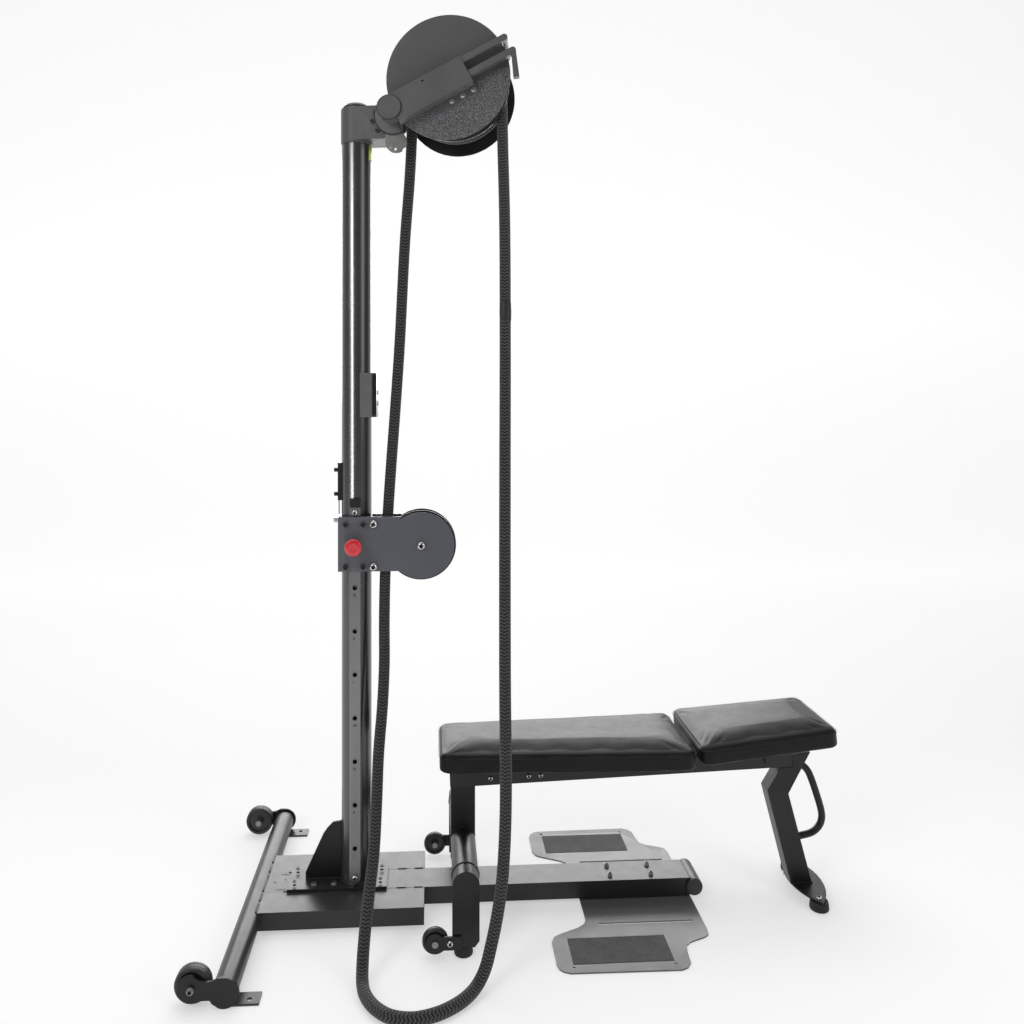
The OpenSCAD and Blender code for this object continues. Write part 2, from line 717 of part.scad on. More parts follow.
// ---- bench ----
module pad_bracket(deep) {
    translate([-25, -90, -5]) cube([50, 180, 5]);
    both_sides() translate([-25, spine_w / 2, -deep]) cube([50, 5, deep]);
}
module bench_spine() {
    color("#2c2e31") in_bench() translate([spine_x0, 0, spine_z0]) rotate([0, -spine_pitch, 0])
        tube_x(spine_len, spine_w, spine_h, 3);
    color("#2c2e31") in_bench() translate([pad_front_x, 0, pad_front_z]) rotate([0, -pad_front_pitch, 0])
        for (x = [166, 616]) translate([x, 0, 0]) pad_bracket(48);
    color("#2c2e31") in_bench() translate([pad_rear_x, 0, pad_rear_z]) rotate([0, -pad_rear_pitch, 0]) {
        translate([80, 0, 0]) pad_bracket(62);
        translate([255, 0, 0]) pad_bracket(74);
    }
}
module bench_front_frame() {
    color("#2c2e31") in_bench() {
        translate([leg_x, 0, leg_axis_z]) difference() {
            rod_y(leg_w / 2, -leg_y, leg_y);
            rod_y(leg_w / 2 - 3, -leg_y - 1, leg_y + 1);
        }
        difference() {
            translate([leg_x - 36, -25, leg_axis_z]) cube([72, 50, spine_z0 + 3 - leg_axis_z]);
            translate([leg_x - 33, -22, leg_axis_z]) cube([66, 44, spine_z0 - leg_axis_z]);
            translate([leg_x, 0, leg_axis_z]) rod_y(leg_w / 2, -50, 50);
            translate([spine_x0, 0, spine_z0]) rotate([0, -spine_pitch, 0])
                translate([-60, -60, 0]) cube([300, 120, 100]);
        }
        both_sides() slab_y(leg_y, leg_y + leg_deep) {
            translate([leg_x, leg_axis_z]) circle(leg_w / 2);
            polygon([[leg_x - leg_w / 2, leg_axis_z], [leg_x - leg_w / 2, 30], [leg_x + 24, 30],
                     [leg_x + leg_w / 2, 46], [leg_x + leg_w / 2, leg_axis_z]]);
        }
        both_sides() slab_y(leg_y + leg_deep, leg_y + leg_deep + 5) difference() {
            union() {
                translate([bench_wheel_x, bench_wheel_z]) circle(26);
                translate([bench_wheel_x, bench_wheel_z - 18]) square([70, 36]);
            }
            translate([bench_wheel_x, bench_wheel_z]) circle(6);
        }
    }
}
module bench_rear_leg() {
    color("#2c2e31") in_bench() {
        slab_y(-27, 27) difference() {
            polygon([[1469, 316], [1535, 305], [1603, 430], [1520, 420], [1512, 386]]);
            translate([spine_x0, spine_z0]) rotate(spine_pitch) square([spine_len, spine_h]);
        }
        slab_y(-27, 27) polygon([[1469, 316], [1542, 32], [1608, 32], [1535, 305]]);
        translate([0, 0, 26]) linear_extrude(6) intersection() {
            translate([1594 + 150, 0]) circle(r = 200);
            translate([1594 - 150, 0]) circle(r = 200);
            translate([1500, -135]) square([200, 270]);
        }
    }
}
module bench_handle() {
    path = [[1540, 395], [1580, 385], [1603, 366], [1617, 338], [1632, 295], [1647, 245],
            [1650, 215], [1640, 190], [1615, 171], [1560, 160]];
    color("#303235") in_bench() difference() {
        sweep([for (p = path) [p[0], 0, p[1]]], 11, 12);
        slab_y(-27, 27) polygon([[1469, 316], [1542, 32], [1608, 32], [1535, 305]]);
        slab_y(-27, 27) polygon([[1469, 316], [1535, 305], [1603, 430], [1520, 420]]);
    }
}
module bench_feet() {
    color("#1b1c1d") in_bench() both_sides() {
        translate([leg_x - 6, leg_y + leg_deep / 2, 0]) cylinder(r1 = 26, r2 = 23, h = 30);
        translate([1594, rear_foot_y, 0]) cylinder(r1 = 28, r2 = 25, h = 26);
    }
}
module bench_wheel(side) {
    y0 = leg_y + leg_deep - 24;
    color("#3a3b3d") in_bench() translate([bench_wheel_x, 0, bench_wheel_z])
        scale([1, side, 1]) difference() {
            rod_y(bench_wheel_r, y0, y0 + 22);
            rod_y(bolt_r + 0.05, y0 - 1, y0 + 23);
        }
}
module bench_wheel_near() { bench_wheel(-1); }
module bench_wheel_far() { bench_wheel(1); }
module bench_wheel_axles() {
    y1 = leg_y + leg_deep;
    color("silver") in_bench() both_sides() translate([bench_wheel_x, 0, bench_wheel_z]) {
        rod_y(bolt_r, y1 - 27, y1 + 5);
        rod_y(9, y1 + 5, y1 + 9);
        rod_y(9, y1 - 30, y1 - 26);
    }
}
module pad_solid(len, w0, w1, t) {
    corner = 34;
    linear_extrude(t) hull() {
        for (s = [-1, 1]) {
            translate([corner, s * (w0 - corner)]) circle(corner, $fn = 32);
            translate([len - corner, s * (w1 - corner)]) circle(corner, $fn = 32);
        }
    }
}
module pad_front() {
    color("#212224") in_bench() translate([pad_front_x, 0, pad_front_z]) rotate([0, -pad_front_pitch, 0])
        pad_solid(pad_long, 132, 165, pad_t);
}
module pad_rear() {
    color("#212224") in_bench() translate([pad_rear_x, 0, pad_rear_z]) rotate([0, -pad_rear_pitch, 0])
        pad_solid(pad_rear_len, 165, 148, pad_t);
}

cross_tube();
end_plates();
anchor_tabs();
deck_tubes();
main_beam();
end_tube();
tube_caps();
base_plate();
frame_bolts();
gusset();
column();
spindle();
spindle_cap();
guide_rail();
rail_fixings();
foot_plate();
grip_pads();
console_housing();
console_bezel();
button_upper();
button_lower();
band_anchor();
counter_band();
wheel_near();
wheel_far();
wheel_axles();
collar();
collar_bushes();
clevis();
index_plate();
pivot_pin();
head_screws();
arm_box();
arm_plate();
guard_bars();
cover_upper();
cover_lower();
arm_bolts();
drum_axle();
drum();
drum_bearings();
rope_wraps();
rope_loop();
carriage_near_plate();
carriage_far_plate();
carriage_spacers();
guide_shoes();
pulley_axle();
pulley();
pull_pin();
bench_spine();
bench_front_frame();
bench_rear_leg();
bench_handle();
bench_feet();
bench_wheel_near();
bench_wheel_far();
bench_wheel_axles();
pad_front();
pad_rear();
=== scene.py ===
import json
from math import atan2, cos, pi, radians, sin, sqrt

import bmesh
import bpy
from mathutils import Matrix, Vector, noise


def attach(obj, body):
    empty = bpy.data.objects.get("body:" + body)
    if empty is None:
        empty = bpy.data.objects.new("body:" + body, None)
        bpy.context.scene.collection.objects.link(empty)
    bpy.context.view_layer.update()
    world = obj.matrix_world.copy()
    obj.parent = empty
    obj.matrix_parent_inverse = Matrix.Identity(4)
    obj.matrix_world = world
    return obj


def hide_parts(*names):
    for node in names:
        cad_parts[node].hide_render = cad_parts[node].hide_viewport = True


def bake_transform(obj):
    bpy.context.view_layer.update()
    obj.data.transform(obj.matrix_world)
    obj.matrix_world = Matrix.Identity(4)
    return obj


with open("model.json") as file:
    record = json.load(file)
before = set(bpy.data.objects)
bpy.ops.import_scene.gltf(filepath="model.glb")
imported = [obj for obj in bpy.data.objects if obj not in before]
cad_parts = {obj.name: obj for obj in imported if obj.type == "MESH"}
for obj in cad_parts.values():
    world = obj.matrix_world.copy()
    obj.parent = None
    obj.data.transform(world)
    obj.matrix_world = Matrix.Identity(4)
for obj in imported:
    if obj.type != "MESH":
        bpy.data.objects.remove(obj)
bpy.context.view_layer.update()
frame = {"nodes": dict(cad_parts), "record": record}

scene = bpy.context.scene
NODES = frame["nodes"]
BODY_OF_NODE = {n: b for b, ns in frame["record"]["behaviour"]["bodies"].items() for n in ns}

# ---- camera, stage and light ----
cam_data = bpy.data.cameras.new("camera")
cam_data.lens = 30.16
cam_data.sensor_width = 36.0
cam_data.shift_x = 0.0252
cam_data.shift_y = -0.1121
cam_data.clip_end = 60
camera = bpy.data.objects.new("camera", cam_data)
camera.location = (0.458, -2.59, 1.509)
camera.rotation_euler = (pi / 2, 0, radians(-3.53))
scene.collection.objects.link(camera)
scene.camera = camera
scene.view_settings.view_transform = "Standard"
scene.view_settings.look = "None"
scene.view_settings.exposure = 0
scene.view_settings.gamma = 1


# ---- places, in metres ----
COLUMN_X = 0.229
SWIVEL = radians(9)
TILT = radians(26.5)
HEAD = Matrix.Translation((COLUMN_X, 0, 0)) @ Matrix.Rotation(-SWIVEL, 4, "Z")
ARM = HEAD @ Matrix.Translation((0.124, 0, 2.333)) @ Matrix.Rotation(-TILT, 4, "Y")
BENCH = Matrix.Translation((0, -0.020, 0))
FRONT_PAD = BENCH @ Matrix.Translation((0.474, 0, 0.435)) @ Matrix.Rotation(radians(-0.4), 4, "Y")
REAR_PAD = BENCH @ Matrix.Translation((1.226, 0, 0.451)) @ Matrix.Rotation(radians(-5.3), 4, "Y")
SPINE = BENCH @ Matrix.Translation((0.508, 0, 0.352)) @ Matrix.Rotation(radians(-1.9), 4, "Y")
I4 = Matrix.Identity(4)
ROPE_R = 0.016
ROUTE_MM = [
    (395, -16, 2404), (394, -17, 2290), (387, -19, 2150), (373, -22, 1960), (359, -27, 1680),
    (346, -32, 1480), (333, -36, 1300), (324, -39, 1160), (321, -40, 1075), (316, -41, 980),
    (314, -48, 850), (315, -64, 730), (311, -90, 615), (302, -124, 490), (299, -166, 370),
    (295, -214, 260), (285, -268, 168), (278, -318, 96), (276, -362, 46), (279, -400, 22),
    (290, -438, 17), (315, -480, 17), (352, -512, 17), (396, -525, 17), (440, -521, 17),
    (490, -500, 17), (534, -467, 18), (566, -434, 26), (590, -410, 54), (606, -397, 104),
    (622, -386, 170), (636, -374, 255), (645, -358, 370), (649, -338, 510), (649, -312, 720),
    (651, -282, 980), (654, -248, 1300), (658, -208, 1650), (660, -170, 1980), (658, -126, 2230),
    (655, -115, 2404),
]


# ---- materials ----
def node(tree, kind, **values):
    n = tree.nodes.new(kind)
    for key, value in values.items():
        if key in n.inputs:
            n.inputs[key].default_value = value
        else:
            setattr(n, key, value)
    return n


def ramp(tree, source, stops):
    r = tree.nodes.new("ShaderNodeValToRGB")
    r.color_ramp.elements[0].position = stops[0][0]
    r.color_ramp.elements[0].color = (*stops[0][1], 1)
    r.color_ramp.elements[1].position = stops[-1][0]
    r.color_ramp.elements[1].color = (*stops[-1][1], 1)
    for position, colour in stops[1:-1]:
        e = r.color_ramp.elements.new(position)
        e.color = (*colour, 1)
    tree.links.new(source, r.inputs["Fac"])
    return r.outputs["Color"]


def noise_of(tree, coords, scale, detail=3.0, stretch=None):
    if stretch:
        m = tree.nodes.new("ShaderNodeMapping")
        m.inputs["Scale"].default_value = stretch
        tree.links.new(coords, m.inputs["Vector"])
        coords = m.outputs["Vector"]
    n = node(tree, "ShaderNodeTexNoise", Scale=scale, Detail=detail)
    tree.links.new(coords, n.inputs["Vector"])
    return n.outputs["Fac"]


def grey(v, tint=(1, 1, 1)):
    return tuple(v * t for t in tint)


def surface(name, dark, light, rough, metal=0.0, patch=7.0, grain=0.0, grain_scale=900.0,
            grain_depth=0.0002, stretch=None, wear=0.0, wear_colour=(0.3, 0.3, 0.3), coat=0.0,
            coat_rough=0.1, sheen=0.0, specks=None, specular=0.5, rough_var=0.07):
    """A painted, plastic or metal finish: patchy colour, uneven gloss, fine grain, wear on edges."""
    mat = bpy.data.materials.new(name)
    mat.use_nodes = True
    tree = mat.node_tree
    link = tree.links.new
    bsdf = tree.nodes["Principled BSDF"]
    coords = tree.nodes.new("ShaderNodeTexCoord").outputs["Object"]
    colour = ramp(tree, noise_of(tree, coords, patch, 4.0, stretch), [(0.3, dark), (0.7, light)])
    if specks:
        scale, low, high, deep, bright = specks
        spots = noise_of(tree, coords, scale, 2.0)
        mask = ramp(tree, spots, [(0.38, deep), (0.47, low), (0.53, high), (0.63, bright)])
        mix = node(tree, "ShaderNodeMixRGB", blend_type="MULTIPLY", Fac=1.0)
        link(colour, mix.inputs["Color1"])
        link(mask, mix.inputs["Color2"])
        colour = mix.outputs["Color"]
    if wear:
        geo = tree.nodes.new("ShaderNodeNewGeometry")
        edge = node(tree, "ShaderNodeMapRange")
        edge.inputs["From Min"].default_value = 0.53
        edge.inputs["From Max"].default_value = 0.60
        edge.inputs["To Max"].default_value = wear
        link(geo.outputs["Pointiness"], edge.inputs["Value"])
        worn = node(tree, "ShaderNodeMixRGB")
        worn.inputs["Color2"].default_value = (*wear_colour, 1)
        link(edge.outputs["Result"], worn.inputs["Fac"])
        link(colour, worn.inputs["Color1"])
        colour = worn.outputs["Color"]
    link(colour, bsdf.inputs["Base Color"])
    gloss = node(tree, "ShaderNodeMapRange")
    gloss.inputs["To Min"].default_value = max(0.03, rough - rough_var)
    gloss.inputs["To Max"].default_value = min(1.0, rough + rough_var)
    link(noise_of(tree, coords, patch * 5, 3.0, stretch), gloss.inputs["Value"])
    link(gloss.outputs["Result"], bsdf.inputs["Roughness"])
    if grain:
        bump = node(tree, "ShaderNodeBump", Strength=grain, Distance=grain_depth)
        link(noise_of(tree, coords, grain_scale, 2.0, stretch), bump.inputs["Height"])
        link(bump.outputs["Normal"], bsdf.inputs["Normal"])
    bsdf.inputs["Metallic"].default_value = metal
    bsdf.inputs["Specular IOR Level"].default_value = specular
    bsdf.inputs["Coat Weight"].default_value = coat
    bsdf.inputs["Coat Roughness"].default_value = coat_rough
    bsdf.inputs["Sheen Weight"].default_value = sheen
    return mat


M = {
    "charcoal": surface("charcoal_powder", grey(0.018), grey(0.027), 0.35, grain=0.35, wear=0.25,
                        wear_colour=grey(0.10), specular=0.34),
    "black": surface("black_powder", grey(0.008), grey(0.013), 0.38, grain=0.3, wear=0.2,
                     wear_colour=grey(0.07), specular=0.34),
    "column": surface("column_powder", grey(0.014), grey(0.019), 0.25, patch=3.0, grain=0.2, specular=0.7,
                      coat=0.5, coat_rough=0.2),
    "head": surface("head_grey_paint", (0.080, 0.080, 0.083), (0.099, 0.099, 0.102), 0.46, patch=9,
                    grain=0.45, grain_scale=700, wear=0.3, wear_colour=grey(0.22)),
    "cover": surface("cover_grey_paint", grey(0.075), grey(0.097), 0.5, patch=5, grain=0.4,
                     grain_scale=800),
    "speckle": surface("cover_speckled_paint", (0.108, 0.106, 0.112), (0.134, 0.132, 0.138), 0.55,
                       grain=0.9, grain_scale=330, grain_depth=0.0006,
                       specks=(360.0, grey(0.72), grey(1.0), grey(0.3), grey(1.8))),
    "index": surface("index_plate_metal", (0.17, 0.168, 0.156), (0.225, 0.222, 0.205), 0.5, metal=0.2,
                     patch=30, grain=0.4, grain_scale=500, wear=0.3),
    "carriage": surface("carriage_blue_grey", (0.091, 0.096, 0.112), (0.106, 0.111, 0.128), 0.42,
                        patch=5, grain=0.25, grain_scale=1100, wear=0.3, wear_colour=grey(0.3)),
    "deck": surface("deck_steel_paint", (0.046, 0.048, 0.053), (0.062, 0.064, 0.070), 0.44, patch=4,
                    grain=0.25, wear=0.4, wear_colour=grey(0.3)),
    "rail": surface("rail_zinc", (0.17, 0.173, 0.18), (0.25, 0.253, 0.26), 0.36, metal=0.85, patch=8,
                    stretch=(1, 1, 0.08), grain=0.25, grain_scale=900),
    "zinc": surface("bright_zinc", (0.62, 0.62, 0.61), (0.76, 0.76, 0.75), 0.22, metal=1.0, patch=60),
    "bolt_steel": surface("bolt_steel", grey(0.20), grey(0.29), 0.36, metal=0.8, patch=70),
    "dark_bolt": surface("black_oxide", grey(0.03), grey(0.06), 0.3, metal=0.8, patch=80),
    "shaft": surface("ground_shaft", grey(0.42), grey(0.52), 0.25, metal=1.0, patch=50),
    "bronze": surface("sintered_bronze", (0.42, 0.30, 0.15), (0.5, 0.37, 0.2), 0.5, metal=0.8, patch=90),
    "nylon": surface("black_nylon", grey(0.014), grey(0.022), 0.5, patch=20, grain=0.4),
    "drum": surface("drum_black", grey(0.011), grey(0.018), 0.34, patch=12, grain=0.3),
    "console": surface("console_shell", grey(0.118), grey(0.140), 0.5, patch=20, grain=0.5,
                       grain_scale=1500),
    "bezel": surface("bezel_black", grey(0.010), grey(0.015), 0.3, patch=25, grain=0.15),
    "button": surface("button_rubber", grey(0.24), grey(0.29), 0.55, patch=60, grain=0.3),
    "wheel": surface("wheel_black", grey(0.018), grey(0.028), 0.45, patch=25, grain=0.4),
    "rubber": surface("foot_rubber", grey(0.008), grey(0.014), 0.7, patch=25, grain=0.5),
    "grip": surface("grip_sheet", grey(0.050), grey(0.068), 0.9, patch=18, grain=1.0,
                    grain_scale=620, grain_depth=0.0007, specks=(700.0, grey(0.85), grey(1.1), grey(0.6), grey(1.45))),
    "knob": surface("red_knob", (0.62, 0.018, 0.03), (0.74, 0.028, 0.045), 0.22, patch=30, coat=0.6),
    # black for the printed ticks on the rail, and for painted shade in socket recesses and deck openings
    "mark": surface("black_print_and_shade", grey(0.01), grey(0.02), 0.6, patch=60),
    "label": surface("label_lime", (0.45, 0.62, 0.03), (0.55, 0.72, 0.06), 0.4, patch=60),
}


def rope_material():
    mat = bpy.data.materials.new("rope_chevron_braid")
    mat.use_nodes = True
    tree = mat.node_tree
    link = tree.links.new
    bsdf = tree.nodes["Principled BSDF"]

    def calc(operation, a, b=None):
        n = tree.nodes.new("ShaderNodeMath")
        n.operation = operation
        for socket, value in zip(n.inputs, (a, b)):
            if value is None:
                continue
            if isinstance(value, (int, float)):
                socket.default_value = value
            else:
                link(value, socket)
        return n.outputs["Value"]

    uv = node(tree, "ShaderNodeUVMap", uv_map="along")
    split = tree.nodes.new("ShaderNodeSeparateXYZ")
    link(uv.outputs["UV"], split.inputs["Vector"])
    zig = calc("PINGPONG", calc("MULTIPLY", split.outputs["X"], 6.0), 0.5)
    row = calc("ADD", calc("DIVIDE", split.outputs["Y"], 0.0046), calc("MULTIPLY", zig, 2.2))
    strand = calc("FRACT", row)
    crown = calc("SINE", calc("MULTIPLY", strand, pi))
    pair = calc("FRACT", calc("MULTIPLY", row, 0.5))
    is_grey = calc("GREATER_THAN", pair, 0.5)
    coords = tree.nodes.new("ShaderNodeTexCoord").outputs["Object"]
    fleck = noise_of(tree, coords, 420.0, 2.0)
    # grey yarns with flecks, darkened towards each strand's edges: painted shade in the grooves between strands
    grey_yarn_groove_shade = calc("MULTIPLY", calc("MULTIPLY", is_grey, calc("POWER", crown, 0.8)),
               calc("ADD", calc("MULTIPLY", fleck, 1.1), 0.25))
    colour = ramp(tree, grey_yarn_groove_shade, [(0.0, grey(0.004)), (0.4, grey(0.014)), (1.0, grey(0.135))])
    link(colour, bsdf.inputs["Base Color"])
    yarn = noise_of(tree, coords, 900.0, 2.0)
    height = calc("ADD", crown, calc("MULTIPLY", yarn, 0.35))
    bump = node(tree, "ShaderNodeBump", Strength=0.9, Distance=0.0012)
    link(height, bump.inputs["Height"])
    link(bump.outputs["Normal"], bsdf.inputs["Normal"])
    bsdf.inputs["Roughness"].default_value = 0.72
    bsdf.inputs["Sheen Weight"].default_value = 0.15
    return mat


def vinyl_material():
    mat = surface("pad_vinyl", grey(0.004), grey(0.0065), 0.42, patch=9, grain=0.0, sheen=0.01, specular=0.22)
    tree = mat.node_tree
    link = tree.links.new
    bsdf = tree.nodes["Principled BSDF"]
    coords = tree.nodes.new("ShaderNodeTexCoord").outputs["Object"]
    cells = node(tree, "ShaderNodeTexVoronoi", Scale=420.0, feature="DISTANCE_TO_EDGE")
    link(coords, cells.inputs["Vector"])
    leather = ramp(tree, cells.outputs["Distance"], [(0.0, grey(0.0)), (0.18, grey(1.0))])
    folds = noise_of(tree, coords, 26.0, 3.0)
    bump = node(tree, "ShaderNodeBump", Strength=0.30, Distance=0.0004)
    link(leather, bump.inputs["Height"])
    soft = node(tree, "ShaderNodeBump", Strength=0.16, Distance=0.004)
    link(folds, soft.inputs["Height"])
    link(bump.outputs["Normal"], soft.inputs["Normal"])
    link(soft.outputs["Normal"], bsdf.inputs["Normal"])
    return mat


M["rope"] = rope_material()
M["vinyl"] = vinyl_material()


def stage_material(name, colour, glow):
    mat = bpy.data.materials.new(name)
    mat.use_nodes = True
    tree = mat.node_tree
    bsdf = tree.nodes["Principled BSDF"]
    coords = tree.nodes.new("ShaderNodeTexCoord").outputs["Object"]
    tone = ramp(tree, noise_of(tree, coords, 0.5, 2.0), [(0.3, grey(colour * 0.995)), (0.7, grey(colour))])
    split = tree.nodes.new("ShaderNodeSeparateXYZ")
    tree.links.new(coords, split.inputs["Vector"])
    depth = node(tree, "ShaderNodeMapRange")
    depth.inputs["From Min"].default_value = 1.0
    depth.inputs["From Max"].default_value = 7.0
    tree.links.new(split.outputs["Y"], depth.inputs["Value"])
    shine = ramp(tree, depth.outputs["Result"], glow)
    tree.links.new(shine, bsdf.inputs["Emission Color"])
    tree.links.new(tone, bsdf.inputs["Base Color"])
    bsdf.inputs["Roughness"].default_value = 0.9
    bsdf.inputs["Specular IOR Level"].default_value = 0.1
    bsdf.inputs["Emission Strength"].default_value = 1.0
    return mat


# ---- mesh helpers ----
def finish_mesh(name, bm, mat, sharp=35.0, weighted=True):
    bmesh.ops.recalc_face_normals(bm, faces=bm.faces)
    for f in bm.faces:
        f.smooth = True
    for e in bm.edges:
        if len(e.link_faces) == 2:
            e.smooth = e.calc_face_angle(0.0) < radians(sharp)
    mesh = bpy.data.meshes.new(name)
    bm.to_mesh(mesh)
    bm.free()
    obj = bpy.data.objects.new(name, mesh)
    scene.collection.objects.link(obj)
    mesh.materials.append(mat)
    if weighted:
        mod = obj.modifiers.new("normals", "WEIGHTED_NORMAL")
        mod.keep_sharp = True
    return obj


def place(obj, body, replaces=()):
    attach(obj, body)
    if replaces:
        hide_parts(*replaces)
    return obj


def round_edges(bm, width, segments=2, angle=30.0):
    edges = [e for e in bm.edges
             if len(e.link_faces) == 2 and e.calc_face_angle(0.0) > radians(angle)]
    if edges and width:
        bmesh.ops.bevel(bm, geom=edges, offset=width, segments=segments, profile=0.5,
                        affect="EDGES", clamp_overlap=True)


def dressed(name, mat, width=0.0012, segments=2, angle=30.0):
    """A CAD node's own shape, cleaned of its triangles and with its edges rounded."""
    bm = bmesh.new()
    bm.from_mesh(NODES[name].data)
    bmesh.ops.remove_doubles(bm, verts=bm.verts, dist=2e-6)
    bmesh.ops.dissolve_limit(bm, angle_limit=radians(0.4), verts=bm.verts, edges=bm.edges)
    round_edges(bm, width, segments, angle)
    bmesh.ops.triangulate(bm, faces=[f for f in bm.faces if len(f.verts) > 4])
    obj = finish_mesh("v_" + name, bm, mat)
    return place(obj, BODY_OF_NODE[name], [name])


def lathe(bm, profile, centre, axis, segments=48, matrix=I4):
    """Turns (radius, height) points about an axis through centre."""
    axis = Vector(axis).normalized()
    side = axis.orthogonal().normalized()
    up = axis.cross(side)
    rings = []
    for r, h in profile:
        if r < 1e-6:
            rings.append([bm.verts.new(matrix @ (Vector(centre) + axis * h))])
            continue
        rings.append([bm.verts.new(matrix @ (Vector(centre) + axis * h
                                             + (side * cos(t) + up * sin(t)) * r))
                      for t in (2 * pi * k / segments for k in range(segments))])
    for a, b in zip(rings, rings[1:]):
        for k in range(segments):
            k2 = (k + 1) % segments
            corners = [a[k % len(a)], a[k2 % len(a)], b[k2 % len(b)], b[k % len(b)]]
            kept = []
            for v in corners:
                if v not in kept:
                    kept.append(v)
            if len(kept) > 2:
                bm.faces.new(kept)


def prism(bm, outline, lift, matrix=I4):
    """Extrudes outline points (3-D) by the vector lift."""
    low = [bm.verts.new(matrix @ Vector(p)) for p in outline]
    high = [bm.verts.new(matrix @ (Vector(p) + Vector(lift))) for p in outline]
    bm.faces.new(low)
    bm.faces.new(high[::-1])
    n = len(low)
    for i in range(n):
        bm.faces.new([low[i], high[i], high[(i + 1) % n], low[(i + 1) % n]])


def ring_frames(path):
    """Tangent and side vectors along a path, carried without twist."""
    n = len(path)
    tangents = [(path[min(i + 1, n - 1)] - path[max(i - 1, 0)]).normalized() for i in range(n)]
    side = Vector((0, 1, 0.2))
    side = (side - tangents[0] * side.dot(tangents[0])).normalized()
    frames = []
    for t in tangents:
        side = (side - t * side.dot(t)).normalized()
        frames.append((t, side, t.cross(side)))
    return frames


def tube(bm, path, radius, sides=24, caps=True, uv=None):
    frames = ring_frames(path)
    rings = []
    lengths = [0.0]
    for a, b in zip(path, path[1:]):
        lengths.append(lengths[-1] + (b - a).length)
    for i, (p, (t, a, b)) in enumerate(zip(path, frames)):
        r = radius(i / (len(path) - 1), lengths[i]) if callable(radius) else radius
        rings.append([bm.verts.new(p + (a * cos(u) + b * sin(u)) * r)
                      for u in (2 * pi * k / sides for k in range(sides))])
    layer = bm.loops.layers.uv.new(uv) if uv else None
    for i, (low, high) in enumerate(zip(rings, rings[1:])):
        for k in range(sides):
            k2 = (k + 1) % sides
            f = bm.faces.new([low[k], low[k2], high[k2], high[k]])
            if layer:
                us = [k / sides, (k + 1) / sides, (k + 1) / sides, k / sides]
                vs = [lengths[i], lengths[i], lengths[i + 1], lengths[i + 1]]
                for loop, u, v in zip(f.loops, us, vs):
                    loop[layer].uv = (u, v)
    if caps:
        bm.faces.new(rings[0][::-1])
        bm.faces.new(rings[-1])
    return lengths[-1]


def catmull(points, per):
    out = []
    n = len(points)
    for i in range(n - 1):
        p0, p1, p2, p3 = points[max(i - 1, 0)], points[i], points[i + 1], points[min(i + 2, n - 1)]
        for k in range(per):
            t = k / per
            out.append(0.5 * (2 * p1 + t * (p2 - p0) + t * t * (2 * p0 - 5 * p1 + 4 * p2 - p3)
                              + t ** 3 * (3 * p1 - p0 - 3 * p2 + p3)))
    out.append(points[-1].copy())
    return out


# ---- the rope ----
route = [Vector(p) * 0.001 for p in ROUTE_MM]
rope_path = catmull(route, 14)
bm = bmesh.new()
rope_length = tube(bm, rope_path, ROPE_R, sides=36, uv="along")
rope = finish_mesh("rope_free_loop", bm, M["rope"], weighted=False)
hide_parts("rope_loop")
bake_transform(rope)
print("rope length", round(rope_length, 3))

# wraps on the drum, from the left side over the top, one and a half turns
WRAP_R = 0.136
DRUM_X = 0.124 + 0.192 * cos(TILT) + 0.016 * sin(TILT)
DRUM_Z = 2.333 + 0.192 * sin(TILT) - 0.016 * cos(TILT)
wrap_path = []
for i in range(181):
    t = pi - 3 * pi * i / 180
    wrap_path.append(HEAD @ Vector((DRUM_X + WRAP_R * cos(t), 0.010 - 0.057 * i / 180,
                                    DRUM_Z + WRAP_R * sin(t))))
bm = bmesh.new()
tube(bm, wrap_path, ROPE_R, sides=36, uv="along")
place(finish_mesh("rope_on_drum", bm, M["rope"], weighted=False), "arm", ["rope_wraps"])

# a knitted join in the right strand
bm = bmesh.new()
lathe(bm, [(0.0, -0.030), (0.0150, -0.030), (0.0166, -0.026), (0.0172, 0.0), (0.0166, 0.026),
           (0.0150, 0.030), (0.0, 0.030)], (0.6592, -0.1965, 1.750), (0.001, 0.11, 1.0), 36)
join = finish_mesh("rope_join", bm, M["nylon"], weighted=False)
place(join, "head")

